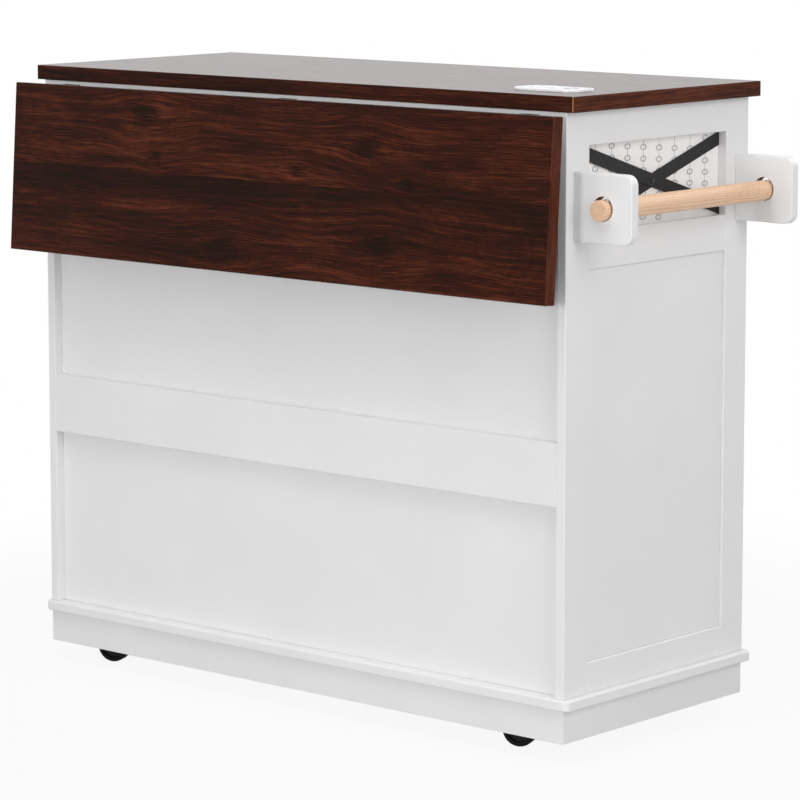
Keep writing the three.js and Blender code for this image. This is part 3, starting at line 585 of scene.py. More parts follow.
door_middle = (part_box("door_left")[1].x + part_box("door_right")[0].x) / 2
door_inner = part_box("door_left")[0].y
high = Vector((door_middle + CATCH_SIZE.x / 2, door_inner - CATCH_FROM_DOOR, deck_low.z))
body = block("body", abs_white, high - CATCH_SIZE, high)
pick(body, "EDIT")
choose(body, "FACE", facing(FORWARD))
bpy.ops.mesh.inset(thickness=CATCH_WALL, depth=-CATCH_POCKET)
close_edit()
ease_edges(body, CATCH_EDGE)
to_magnet = Vector((CATCH_SIZE.x - MAGNET_INSET.x, MAGNET_BACK, CATCH_SIZE.z - MAGNET_INSET.z))
magnet = block("magnet", zinc, high - to_magnet, high - MAGNET_INSET)
ease_edges(magnet, MAGNET_EDGE)
catch = join("catch", body, magnet)
strike_low = Vector((door_middle, door_inner - STRIKE_PROUD, deck_low.z - CATCH_SIZE.z / 2))
strike_low -= Vector((STRIKE_SIZE.x / 2, 0, STRIKE_SIZE.z / 2))
strike = block("strike", zinc, strike_low, strike_low + STRIKE_SIZE)
ease_edges(strike, STRIKE_EDGE, segments=2)
catches = []
for side, door_name in ((-1, "door_left"), (1, "door_right")):
    aside = Matrix.Translation((side * CATCH_FROM_MIDDLE, 0, 0))
    catches.append(copy_placed(catch, "catch", aside))
    hand_over(copy_placed(strike, f"{door_name}_strike_plate", aside), "zinc_steel", door_name)
discard(catch, strike)
hand_over(join("door_catches", *catches), "white_plastic", "cabinet")

# ---- Worktop and drop leaf ----
# Both are 22 mm particle board under a printed walnut laminate, with edge bands of the same print.
# The print shows broad staves with arched figure, knots and fine pores, under a satin film.
STAVE_WIDTH = 132 * MM
BAND_THICKNESS = 0.7 * MM
END_BAND_PAINTED_LIGHT = 0.21  # the bands on the ends are painted lighter, as painted light on the boards' ends
BAND_ALONG, BAND_OVER = 5.3, 30.5 * STAVE_WIDTH  # which part of the print the bands show
GROWTH_RING = 6.5 * MM
RING_SWAY = 9 * MM
PITH_DEPTH = 160 * MM
FIBRE_SWAY = 16 * MM
HEARTWOOD = 46 * MM
HEARTWOOD_FRAY = 24 * MM
PORE_DEPTH = 0.15 * MM
WALNUT_DARK = "#1c0d06"
WALNUT_MID = "#36150a"
WALNUT_LIGHT = "#64311d"
CORNER_GLUE = "#b98d5c"
CORNER_GLUE_FROM = 1.4 * MM
CORNER_GLUE_WIDTH = 1.4 * MM
HANG = math.radians(3.7)  # the leaf leans this much off upright
# The print's patterns, in cycles per metre along the board, over it and from stave to stave.
PITH_DIVES = (1.3, 7.7, 1)
PITH_PLACES = (0.9, 5.3, 1)
RING_RIPPLE = (8, 30, 11)
FIBRE_WAVES = (2.6, 7, 3)
KNOT_RAGS = (34, 260, 1)
FINE_FIBRES = (18, 620, 1)  # 1.5 mm wide, because the real ones would not show
FIBRE_BUNDLES = (5, 170, 5)
STREAKS = (2.6, 34, 3)
CLOUDS = (5.5, 12, 9)
HEARTWOOD_RAGS = (3, 60, 1)
PORES = (60, 1100, 2)
NOISE_LOW, NOISE_HIGH = 0.3, 0.7  # noise seldom passes these
SHADE_BASE = -1.56  # brings the sum of the figure's layers to a middle shade
HEARTWOOD_SHADE = 0.24
KNOT_SHAPE = (0.55, 1.0, 0.0)  # distances along the board count for less, so that knots lie long
KNOT_REACH = 2.6  # a knot parts the fibres out to this many times its size
KNOT_PARTING = 0.6
KNOT_SHADE = 0.36


def wood_noise(tree, at, stretch, detail, roughness=0.5, offset=(0, 0, 0)):
    """Noise with its own number of cycles per metre on each axis."""
    place = add_node(tree, "Mapping", {"Vector": at, "Location": offset, "Scale": stretch})
    inputs = {"Vector": place, "Scale": 1.0, "Detail": detail, "Roughness": roughness}
    return add_node(tree, "TexNoise", inputs)


def growth_rings(tree, along, stave, stave_part, at):
    """Rings round a pith that dives through each stave, so that they show as long arches."""
    log_at = add_node(tree, "CombineXYZ", [along, stave])
    dives = wood_noise(tree, log_at, PITH_DIVES, 2.0, 0.4)
    depth = add_node(tree, "MapRange", [dives, NOISE_LOW, NOISE_HIGH, 0.0, PITH_DEPTH])
    places = wood_noise(tree, log_at, PITH_PLACES, 1.0, offset=(3, 9, 4))
    pith = add_node(tree, "MapRange", [places, NOISE_LOW, NOISE_HIGH, -0.2, 0.9])
    off_pith = add_node(tree, "Math", [stave_part, pith], operation="SUBTRACT")
    off_pith = add_node(tree, "Math", [off_pith, STAVE_WIDTH], operation="MULTIPLY")
    ripple = wood_noise(tree, at, RING_RIPPLE, 3.0)
    sway = add_node(tree, "MapRange", [ripple, 0, 1, -RING_SWAY, RING_SWAY])
    off_pith = add_node(tree, "Math", [off_pith, sway], operation="ADD")
    away = add_node(tree, "CombineXYZ", [off_pith, depth])
    radius = add_node(tree, "VectorMath", [away], operation="LENGTH").outputs["Value"]
    rings = add_node(tree, "Math", [radius, GROWTH_RING], operation="DIVIDE")
    part = add_node(tree, "Math", [rings], operation="FRACT")
    # Early wood pales slowly, then the late wood ends in a dark line.
    stops = [(0.0, "#000000"), (1.0, "#000000"), (0.2, "#a0a0a0"), (0.75, "#ffffff")]
    return add_node(tree, "ValToRGB", [part], stops=stops)


def parted_by_knots(tree, grain_at, over, swayed, knots):
    """Parts swayed fibres round knots, and gives how dark the knots' ragged middles are. A knot is
    its place along the board, its place over it, and its size."""
    rags = wood_noise(tree, grain_at, KNOT_RAGS, 4.0, 0.7)
    ragged = add_node(tree, "MapRange", [rags, NOISE_LOW, NOISE_HIGH, 0.35, 2.0])
    knotted = 0.0
    for knot_x, knot_over, size in knots:
        from_knot = add_node(tree, "VectorMath", [grain_at, (knot_x, knot_over, 0)], operation="SUBTRACT")
        squeezed = add_node(tree, "VectorMath", [from_knot, KNOT_SHAPE], operation="MULTIPLY")
        reach = add_node(tree, "VectorMath", [squeezed], operation="LENGTH").outputs["Value"]
        above_knot = add_node(tree, "Math", [over, knot_over], operation="SUBTRACT")
        limits = [0.0, KNOT_REACH * size, KNOT_PARTING, 0.0]
        parting = add_node(tree, "MapRange", [reach, *limits], interpolation_type="SMOOTHSTEP")
        shift = add_node(tree, "Math", [above_knot, parting], operation="MULTIPLY")
        swayed = add_node(tree, "Math", [swayed, shift], operation="SUBTRACT")
        ragged_reach = add_node(tree, "Math", [reach, ragged], operation="MULTIPLY")
        limits = [0.0, size, KNOT_SHADE, 0.0]
        dark = add_node(tree, "MapRange", [ragged_reach, *limits], interpolation_type="SMOOTHSTEP")
        knotted = add_node(tree, "Math", [knotted, dark], operation="ADD")
    return swayed, knotted


def walnut_laminate(name, node, turn, across, seam, knots):
    """Walnut print along X, on a board turned back about X by an angle. across is the axis over the
    board's width. seam and the knots' places are measured over the board from its higher side: seam
    is a joint between two staves with dark heartwood below it, and a knot is (x, place, size)."""
    turned = [Matrix.Rotation(turn, 3, "X") @ corner.co for corner in frame["nodes"][node].data.vertices]
    low, high = (Vector(map(side, zip(*turned))) for side in (min, max))
    middle, half = (low + high) / 2, (high - low) / 2
    seam = high[across] - seam
    material, tree, shader = new_material(name, WALNUT_MID, 0.18, specular=0.06)
    at = add_node(tree, "TexCoord").outputs["Object"]
    at = add_node(tree, "Mapping", {"Vector": at, "Rotation": (turn, 0, 0)})
    split = add_node(tree, "SeparateXYZ", [at])
    deep_axis = 3 - across
    wide, deep = split.outputs[across], split.outputs[deep_axis]

    # The print runs along each edge band too.
    off_x = add_node(tree, "Math", [split.outputs[0], middle.x], operation="SUBTRACT")
    to_end = add_node(tree, "Math", [off_x], operation="ABSOLUTE")
    on_end = add_node(tree, "Math", [to_end, half.x - BAND_THICKNESS], operation="GREATER_THAN")
    off_middle = add_node(tree, "Math", [wide, middle[across]], operation="SUBTRACT")
    to_side = add_node(tree, "Math", [off_middle], operation="ABSOLUTE")
    on_side = add_node(tree, "Math", [to_side, half[across] - BAND_THICKNESS], operation="GREATER_THAN")
    on_edge = add_node(tree, "Math", [on_end, on_side], operation="MAXIMUM")
    to_band = seam - middle[deep_axis] + BAND_OVER
    band_over = add_node(tree, "Math", [deep, to_band], operation="ADD")
    band_along = add_node(tree, "Math", [wide, BAND_ALONG], operation="ADD")
    along = add_node(tree, "Mix", {"Factor": on_end, "A": split.outputs[0], "B": band_along})
    over = add_node(tree, "Mix", {"Factor": on_edge, "A": wide, "B": band_over})

    # Staves lie side by side from the seam.
    from_seam = add_node(tree, "Math", [over, seam], operation="SUBTRACT")
    in_staves = add_node(tree, "Math", [from_seam, STAVE_WIDTH], operation="DIVIDE")
    stave = add_node(tree, "Math", [in_staves], operation="FLOOR")
    stave_part = add_node(tree, "Math", [in_staves, stave], operation="SUBTRACT")
    grain_at = add_node(tree, "CombineXYZ", [along, over, stave])

    # Fibres sway along the board and part round each knot.
    waves = wood_noise(tree, grain_at, FIBRE_WAVES, 2.0)
    sway = add_node(tree, "MapRange", [waves, 0, 1, -FIBRE_SWAY, FIBRE_SWAY])
    swayed = add_node(tree, "Math", [over, sway], operation="ADD")
    placed_knots = [(x, high[across] - from_side, size) for x, from_side, size in knots]
    swayed, knotted = parted_by_knots(tree, grain_at, over, swayed, placed_knots)
    fibre_at = add_node(tree, "CombineXYZ", [along, swayed, stave])

    # Each layer of the figure adds to the shade by its own weight.
    fine = wood_noise(tree, fibre_at, FINE_FIBRES, 5.0, 0.8)
    layers = [
        (growth_rings(tree, along, stave, stave_part, fibre_at), 0.07),
        (fine, 1.9),
        (wood_noise(tree, fibre_at, FIBRE_BUNDLES, 3.0), 0.8),
        (wood_noise(tree, fibre_at, STREAKS, 2.0), 0.62),
        (wood_noise(tree, fibre_at, CLOUDS, 2.0), 0.6),
    ]
    # The end bands start lighter: painted light on the ends of the boards.
    shade = add_node(tree, "Math", [on_end, END_BAND_PAINTED_LIGHT, SHADE_BASE], operation="MULTIPLY_ADD")
    for layer, weight in layers:
        shade = add_node(tree, "Math", [layer, weight, shade], operation="MULTIPLY_ADD")

    # Heartwood is darkest at the seam and fades away from it.
    rags = wood_noise(tree, fibre_at, HEARTWOOD_RAGS, 2.0)
    fray = add_node(tree, "MapRange", [rags, 0, 1, -HEARTWOOD_FRAY, HEARTWOOD_FRAY])
    frayed = add_node(tree, "Math", [from_seam, fray], operation="ADD")
    limits = [-HEARTWOOD, -HEARTWOOD / 3, 0.0, HEARTWOOD_SHADE]
    fade = add_node(tree, "MapRange", [frayed, *limits], interpolation_type="SMOOTHSTEP")
    below_seam = add_node(tree, "Math", [from_seam, 0.0], operation="LESS_THAN")
    heart = add_node(tree, "Math", [fade, below_seam], operation="MULTIPLY")
    pores = wood_noise(tree, fibre_at, PORES, 1.0)
    pore = add_node(tree, "MapRange", [pores, 0.6, 0.75, 0.0, 0.2])
    for darker in (knotted, heart, pore):
        shade = add_node(tree, "Math", [shade, darker], operation="SUBTRACT")
    stops = [(0.1, WALNUT_DARK), (0.85, WALNUT_LIGHT), (0.45, WALNUT_MID)]
    tone = add_node(tree, "ValToRGB", [shade], stops=stops)

    # At one end of the long edges a glue line shows where two edge bands meet.
    line = high.x - CORNER_GLUE_FROM - CORNER_GLUE_WIDTH / 2
    in_line = add_node(tree, "Math", [split.outputs[0], line, CORNER_GLUE_WIDTH / 2], operation="COMPARE")
    glue = add_node(tree, "Math", [on_side, in_line], operation="MULTIPLY")
    # Sockets 6 and 7 of this node are its two colours.
    colour = add_node(tree, "Mix", {0: glue, 6: tone, 7: linear(CORNER_GLUE)}, data_type="RGBA")
    tree.links.new(colour.outputs[2], shader.inputs["Base Color"])
    sheen = add_node(tree, "MapRange", [fine, NOISE_LOW, NOISE_HIGH, 0.12, 0.24])
    tree.links.new(sheen.outputs[0], shader.inputs["Roughness"])
    dents = {"Height": pores, "Strength": 0.12, "Distance": PORE_DEPTH}
    bump = add_node(tree, "Bump", dents, invert=True)
    tree.links.new(bump.outputs[0], shader.inputs["Normal"])
    return material


worktop_walnut = walnut_laminate(
    "walnut_laminate_worktop",
    "worktop",
    turn=0,
    across=1,
    seam=0.274,
    knots=[(-0.28, 0.334, 0.03), (0.1, 0.124, 0.04)],
)
dress(worktop_walnut, "worktop")
leaf_walnut = walnut_laminate(
    "walnut_laminate_leaf",
    "drop_leaf",
    turn=HANG,
    across=2,
    seam=0.120,
    knots=[
        (-0.285, 0.038, 0.030),
        (-0.265, 0.096, 0.014),
        (-0.13, 0.222, 0.038),
        (0.02, 0.102, 0.012),
        (0.15, 0.060, 0.024),
        (0.23, 0.108, 0.014),
        (0.18, 0.198, 0.030),
    ],
)
dress(leaf_walnut, "drop_leaf")

# ---- Power module ----
# A moulded ABS housing drops into a cut-out in the worktop and laps it with a low rounded rim. A faceplate with
# two sockets and two charging ports snaps into the rim; a carrier for the contacts sits below, and it and the
# openings' walls are black as painted shade for the openings' depth.
RIM_CORNER = 26 * MM
RIM_LAP = 5.5 * MM
RIM_LIP = 8 * MM
RIM_EDGE = 0.9 * MM
SEAT_DEPTH = 2.5 * MM
SEAT_GAP = 0.5 * MM  # between the faceplate and the rim's wall
CUP_DEPTH = 45 * MM
CUP_INTO_RIM = 0.2 * MM
CUP_EDGE = 1.5 * MM
GLAND_RADIUS = 8 * MM
GLAND_HOLE_RADIUS = 4 * MM
GLAND_HOLE_DEPTH = 6 * MM
GLAND_INTO_CUP = 1 * MM
GLAND_EDGE = 0.6 * MM
PLATE_EDGE = 0.5 * MM
OPENING_EDGE = 0.2 * MM
SOCKET_OFFSET = -19 * MM
SOCKET_SPACING = 38 * MM
SOCKET_FACE_RADIUS = 15.5 * MM
SOCKET_FACE_RECESS = 1.2 * MM
SLOT_SIZE = Vector((2.2, 8)) * MM
SLOT_SPACING = 12.7 * MM
EARTH_RADIUS = 2.4 * MM
EARTH_DROP = 7 * MM
PORT_OFFSET = 30 * MM
PORT_SPACING = 16 * MM
PORT_SIZE = Vector((13, 5.5)) * MM
CARRIER_INSET = 12 * MM
CARRIER_TOP, CARRIER_FOOT = 0.1 * MM, 0.4 * MM  # below the faceplate
CARRIER_EDGE = 0.1 * MM
TONGUE_LOW, TONGUE_HIGH = Vector((-5, -0.3)) * MM, Vector((5, 1.2)) * MM  # from its port's middle
TONGUE_FOOT, TONGUE_TOP = 0.2 * MM, 0.8 * MM  # below the faceplate's underside and its face
TONGUE_EDGE = 0.2 * MM
NEAR = 0.1 * MM  # within this distance an edge or a face counts as lying at a place

rim_low, rim_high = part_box("power_module_housing")
module_at = (rim_low + rim_high) / 2
table_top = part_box("worktop")[1].z


def module_block(name, material, inset, foot, top):
    """A block with the module's rounded plan, drawn in by inset on every side."""
    low = (rim_low.x + inset, rim_low.y + inset, foot)
    high = (rim_high.x - inset, rim_high.y - inset, top)
    made = block(name, material, low, high)
    round_edges(made, RIM_CORNER - inset, segments=12, test=upright)
    return made


def at_module_top(middle, along):
    """Passes the level edges at the module's top."""
    return middle.z > rim_high.z - NEAR and abs(along.z) < 1 - ALIGNED


rim = module_block("rim", abs_white, 0, table_top, rim_high.z)
pick(rim, "EDIT")
choose(rim, "FACE", facing(UP))
bpy.ops.mesh.inset(thickness=RIM_LIP - SEAT_GAP, depth=0)
bpy.ops.transform.translate(value=(0, 0, -SEAT_DEPTH))
close_edit()
round_edges(rim, RIM_EDGE, segments=3, test=at_module_top)
smooth(rim)
gland_base = table_top - CUP_DEPTH
cup = module_block("cup", abs_white, RIM_LAP, gland_base, table_top + CUP_INTO_RIM)
ease_edges(cup, CUP_EDGE, over=60)
gland_top, gland_foot = (*module_at.xy, gland_base + GLAND_INTO_CUP), (*module_at.xy, rim_low.z)
gland = rod("gland", abs_white, gland_top, gland_foot, GLAND_RADIUS)
pick(gland, "EDIT")
choose(gland, "FACE", facing(-UP))
bpy.ops.mesh.inset(thickness=GLAND_RADIUS - GLAND_HOLE_RADIUS, depth=0)
bpy.ops.transform.translate(value=(0, 0, GLAND_HOLE_DEPTH))
close_edit()
ease_edges(gland, GLAND_EDGE)
housing = join("power_module_body", rim, cup, gland)
hand_over(housing, "white_plastic", "cabinet", "power_module_housing")

# The openings' walls and the carrier below them are a flat near-black, painted shade for the openings' depth; the
# ports' tongues are glass filled nylon in mid grey.
opening_shade_nylon = clouded(
    "black_painted_opening_shade",
    ("#1a1a1b", "#242425"),
    cloud=10 * MM,
    grit=1 * MM,
    roughness=(0.4, 0.55),
    relief=0.05,
)
tongue_nylon = clouded(
    "grey_glass_filled_nylon",
    ("#55585c", "#63666b"),
    cloud=6 * MM,
    grit=1 * MM,
    roughness=(0.4, 0.5),
    relief=0.05,
)
plate_bottom = rim_high.z - SEAT_DEPTH
plate = module_block("power_module_plate", abs_white, RIM_LIP, plate_bottom, rim_high.z)
round_edges(plate, PLATE_EDGE, segments=3, test=at_module_top)
above, below = rim_high.z + CUT_PAST, plate_bottom - CUT_PAST
recesses, openings, tongues = [], [], []
for side in (-1, 1):
    socket_at = Vector((module_at.x + SOCKET_OFFSET + side * SOCKET_SPACING / 2, module_at.y))
    recess_foot, recess_top = (*socket_at, rim_high.z - SOCKET_FACE_RECESS), (*socket_at, above)
    recesses.append(rod("recess", abs_white, recess_foot, recess_top, SOCKET_FACE_RADIUS, sides=64))
    for pole in (-1, 1):
        slot_at = socket_at + Vector((pole * SLOT_SPACING / 2 - SLOT_SIZE.x / 2, 0))
        slot = block("slot", opening_shade_nylon, (*slot_at, below), (*(slot_at + SLOT_SIZE), above))
        openings.append(slot)
    earth = (socket_at.x, socket_at.y - EARTH_DROP)
    openings.append(rod("earth", opening_shade_nylon, (*earth, below), (*earth, above), EARTH_RADIUS, sides=24))
    port_at = Vector((module_at.x + PORT_OFFSET, module_at.y + side * PORT_SPACING / 2))
    low, high = (*(port_at - PORT_SIZE / 2), below), (*(port_at + PORT_SIZE / 2), above)
    openings.append(block("port", opening_shade_nylon, low, high))
    low = (*(port_at + TONGUE_LOW), plate_bottom - TONGUE_FOOT)
    high = (*(port_at + TONGUE_HIGH), rim_high.z - TONGUE_TOP)
    tongue = block("tongue", tongue_nylon, low, high)
    ease_edges(tongue, TONGUE_EDGE)
    tongues.append(tongue)
drill(plate, *recesses)
# The openings' walls take the black of their tools: painted shade for their depth.
drill(plate, *openings)
ease_edges(plate, OPENING_EDGE, segments=2, over=50)
hand_over(plate, "white_plastic", "cabinet", "power_module_faceplate")

carrier_foot, carrier_top = plate_bottom - CARRIER_FOOT, plate_bottom - CARRIER_TOP
# The carrier's black is painted shade, seen through the openings.
carrier = module_block("carrier", opening_shade_nylon, CARRIER_INSET, carrier_foot, carrier_top)
ease_edges(carrier, CARRIER_EDGE)
hand_over(join("power_module_contacts", carrier, *tongues), "white_plastic", "cabinet")

# ---- Pulls ----
# Each drawer and door has a black bar pull: a drawn steel bar with rounded ends on two turned posts,
# screwed from behind and powder coated.
PULL_RADIUS = 5 * MM
PULL_END = 1.6 * MM
PULL_POST_RADIUS = 4 * MM
PULL_POST_SPACING = 96 * MM
PULL_THREAD_RADIUS = 1.9 * MM
PULL_THREAD_DEPTH = 4 * MM
PULL_THREAD_TAPER = 0.3 * MM
PULL_COLLAR_RADIUS = 5.2 * MM
PULL_COLLAR = 2 * MM
PULL_COLLAR_EDGE = 0.6 * MM
PULL_POST_EDGE = 0.3 * MM


def bar_pull(name, node):
    """A pull that fills its node's box; it lies along the box's longest side."""
    low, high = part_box(node)
    along = Vector((1, 0, 0)) if high.x - low.x > high.z - low.z else UP
    middle = (low + high) / 2
    bar_at = Vector((middle.x, high.y - PULL_RADIUS, middle.z))
    half = along * (high - low).dot(along) / 2
    bar = rod("bar", powder_coat, bar_at - half, bar_at + half, PULL_RADIUS, sides=40)
    ease_edges(bar, PULL_END, segments=4)
    parts = [bar]
    for side in (-1, 1):
        foot = Vector((middle.x, low.y, middle.z)) + along * side * PULL_POST_SPACING / 2
        top = foot + FORWARD * (bar_at.y - low.y)
        post = rod("post", powder_coat, foot, top, PULL_POST_RADIUS)
        pick(post, "EDIT")
        choose(post, "FACE", facing(-FORWARD))
        bpy.ops.mesh.inset(thickness=PULL_POST_RADIUS - PULL_THREAD_RADIUS, depth=0)
        bpy.ops.mesh.inset(thickness=PULL_THREAD_TAPER, depth=-PULL_THREAD_DEPTH)
        close_edit()
        ease_edges(post, PULL_POST_EDGE, segments=2)
        collar = rod("collar", powder_coat, foot, foot + FORWARD * PULL_COLLAR, PULL_COLLAR_RADIUS)
        ease_edges(collar, PULL_COLLAR_EDGE)
        parts += [post, collar]
    return join(name, *parts)


for part in ("drawer", "door"):
    left_pull = bar_pull(f"{part}_left_bar_pull", f"{part}_left_pull")
    to_right = Matrix.Translation(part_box(f"{part}_right_pull")[0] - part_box(f"{part}_left_pull")[0])
    right_pull = copy_placed(left_pull, f"{part}_right_bar_pull", to_right)
    hand_over(left_pull, "black_steel", f"{part}_left", f"{part}_left_pull")
    hand_over(right_pull, "black_steel", f"{part}_right", f"{part}_right_pull")

# ---- Drawer runners ----
# White drawer boxes with a wide board front run on zinc plated steel channels along the deck. Each
# channel is rolled from strip and held by three low rivets.
RUNNER_RIVET_FROM_END = 18 * MM
RUNNER_RIVET_HEIGHT = 5 * MM
RUNNER_RIVET_RADIUS = 1.6 * MM
RUNNER_RIVET_RISE = 0.35 * MM
RUNNER_RIVET_SUNK = 0.1 * MM

dress(zinc, "drawer_left_runner", "drawer_right_runner")
rivet = rivet_head(zinc, origin, (-1, 0, 0), RUNNER_RIVET_RADIUS, RUNNER_RIVET_RISE, dimple=False)
runner_rivets = []
for side in ("left", "right"):
    low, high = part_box(f"drawer_{side}_runner")
    for y in (low.y + RUNNER_RIVET_FROM_END, (low.y + high.y) / 2, high.y - RUNNER_RIVET_FROM_END):
        seat = (low.x + RUNNER_RIVET_SUNK, y, low.z + RUNNER_RIVET_HEIGHT)
        runner_rivets.append(copy_placed(rivet, "rivet", Matrix.Translation(seat)))
discard(rivet)
hand_over(join("runner_rivets", *runner_rivets), "zinc_steel", "cabinet")

# ---- Doors ----
# Each door is one board with a routed field: the cutter leaves a small step and then a slope round
# it, and all edges are eased before the lacquer.
DOOR_FRAME = 55 * MM
DOOR_FIELD_RECESS = 5 * MM
DOOR_STEP = 0.4  # share of the recess that is the step; the slope takes the rest
DOOR_STEP_WIDTH = 0.2 * MM
DOOR_SLOPE_WIDTH = 4 * MM
DOOR_EDGE = 1.2 * MM

for side in ("left", "right"):
    door = block(f"door_{side}_panelled", lacquer, *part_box(f"door_{side}"))
    pick(door, "EDIT")
    choose(door, "FACE", facing(FORWARD))
    bpy.ops.mesh.inset(thickness=DOOR_FRAME, depth=0)
    bpy.ops.mesh.inset(thickness=DOOR_STEP_WIDTH, depth=-DOOR_FIELD_RECESS * DOOR_STEP)
    bpy.ops.mesh.inset(thickness=DOOR_SLOPE_WIDTH, depth=-DOOR_FIELD_RECESS * (1 - DOOR_STEP))
    close_edit()
    ease_edges(door, DOOR_EDGE, over=20)
    hand_over(door, "white_mdf", f"door_{side}", f"door_{side}")

# ---- Hinges ----
# Pairs of black steel butt hinges: one leaf screwed to the end frame, the other let into the door's
# edge, with five rolled knuckles on a pin between them.
KNUCKLES = 5
KNUCKLE_GAP = 0.5 * MM
KNUCKLE_EDGE = 0.3 * MM
HINGE_RADIUS = 3 * MM
HINGE_LEAF = 1 * MM
HINGE_LEAF_EDGE = 0.2 * MM
HINGE_PIN_RADIUS = 1.6 * MM
HINGE_PIN_SHORT = 0.2 * MM
HINGE_PIN_EDGE = 0.5 * MM
TAB_REACH = 4.5 * MM  # a moving knuckle's tab reaches this far back from the pin
DOOR_LEAF_PROUD = 0.08 * MM
DOOR_LEAF_SHORT = 1 * MM
DOOR_LEAF_FROM_PIN = 3.3 * MM
DOOR_LEAF_EDGE = 0.15 * MM

for side, sign in (("left", -1), ("right", 1)):
    outer = 1 if sign > 0 else 0  # which corner of a box is the outer one
    low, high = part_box(f"door_{side}_hinge_upper")
    axis = Vector(((low.x + high.x) / 2, high.y - HINGE_RADIUS))
    door_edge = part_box(f"door_{side}")[outer].x
    frame_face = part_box("drawer_deck")[outer].x
    height = (high.z - low.z) / KNUCKLES
    fixed, moving = [], []
    for knuckle in range(KNUCKLES):
        foot = low.z + knuckle * height + KNUCKLE_GAP / 2
        top = foot + height - KNUCKLE_GAP
        roll = rod("knuckle", powder_coat, (*axis, foot), (*axis, top), HINGE_RADIUS)
        ease_edges(roll, KNUCKLE_EDGE, segments=2)
        (moving if knuckle % 2 else fixed).append(roll)
        if knuckle % 2:
            inner_x, outer_x = sorted((door_edge, door_edge - sign * HINGE_LEAF))
            tab_low, tab_high = (inner_x, axis.y - TAB_REACH, foot), (outer_x, axis.y, top)
            tab = block("tab", powder_coat, tab_low, tab_high)
            ease_edges(tab, DOOR_LEAF_EDGE, segments=2)
            moving.append(tab)
    inner_x, outer_x = sorted((frame_face, frame_face - sign * HINGE_LEAF))
    leaf = block("leaf", powder_coat, (inner_x, low.y, low.z), (outer_x, axis.y, high.z))
    ease_edges(leaf, HINGE_LEAF_EDGE, segments=2)
    pin_foot, pin_top = (*axis, low.z + HINGE_PIN_SHORT), (*axis, high.z - HINGE_PIN_SHORT)
    pin = rod("pin", powder_coat, pin_foot, pin_top, HINGE_PIN_RADIUS)
    ease_edges(pin, HINGE_PIN_EDGE, segments=2)
    inner_x, outer_x = sorted((door_edge + sign * DOOR_LEAF_PROUD, door_edge - sign * HINGE_LEAF))
    let_low = (inner_x, low.y, low.z + DOOR_LEAF_SHORT)
    let_high = (outer_x, axis.y - DOOR_LEAF_FROM_PIN, high.z - DOOR_LEAF_SHORT)
    let_in = block("let_in", powder_coat, let_low, let_high)
    ease_edges(let_in, DOOR_LEAF_EDGE, segments=2)
    fixed_leaf, door_leaf = join("fixed", *fixed, leaf, pin), join("moving", *moving, let_in)
    for level in ("upper", "lower"):
        node = f"door_{side}_hinge_{level}"
        to_level = Matrix.Translation(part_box(node)[0] - low)
        fixed_copy = copy_placed(fixed_leaf, f"{node}_fixed_leaf", to_level)
        hand_over(fixed_copy, "black_steel", "cabinet", node)
        hand_over(copy_placed(door_leaf, f"{node}_door_leaf", to_level), "black_steel", f"door_{side}")
    discard(fixed_leaf, door_leaf)

# ---- Leaf brackets ----
# Three wall plates pressed from 2 mm strip carry the leaf's arms on riveted pins; two of them also
# hold a folding strut. All are powder coated, and wood screws fix them to the rail and the leaf.
STRIP = 2 * MM
PRESSED_EDGE = 0.5 * MM
SCREW_RADIUS = 3.6 * MM
SCREW_RISE = 1.4 * MM
SCREW_SLOT = Vector((0.8, 4, 1.4)) * MM
SLOT_TURN = math.radians(45)
PLATE_SCREW_BELOW = 30 * MM  # below the leaf's pin
PLATE_SCREW_ABOVE = 22 * MM  # above the strut's pin
ARM_SCREWS = [45 * MM, 125 * MM, 205 * MM]  # down the arm from the leaf's pin
ARM_WEB_OFF = 10.7 * MM  # web's inner face beyond the leaf's pin


def eased_copy(name, material, node, radius):
    """A node's own shape with its edges eased, for a piece that was pressed or bent."""
    bpy.ops.object.select_all(action="DESELECT")
    piece = bpy.data.objects.new(name, frame["nodes"][node].data.copy())
    bpy.context.scene.collection.objects.link(piece)
    piece.data.name = name
    piece.data.materials.clear()
    piece.data.materials.append(material)
    pick(piece, "EDIT")
    bpy.ops.mesh.select_all(action="SELECT")
    bpy.ops.mesh.remove_doubles(threshold=0.002 * MM)
    bpy.ops.mesh.dissolve_limited(angle_limit=math.radians(1))
    bpy.ops.mesh.normals_make_consistent(inside=False)
    close_edit()
    ease_edges(piece, radius, segments=2, over=40)
    return piece


# A wood screw shows a pan head with a cross slot. It is made at the origin, looking up.
screw = rivet_head(zinc, origin, UP, SCREW_RADIUS, SCREW_RISE, dimple=False)
for turn in (-SLOT_TURN, SLOT_TURN):
    slot = block("slot", zinc, -SCREW_SLOT / 2, SCREW_SLOT / 2)
    slot.data.transform(Matrix.Translation(UP * SCREW_RISE) @ Matrix.Rotation(turn, 4, "Z"))
    drill(screw, slot)


def screw_in(seat, outward):
    """A copy of the screw, seated at a place and looking outward."""
    turned = outward.to_track_quat("Z", "Y").to_matrix().to_4x4()
    return copy_placed(screw, "screw", Matrix.Translation(seat) @ turned)


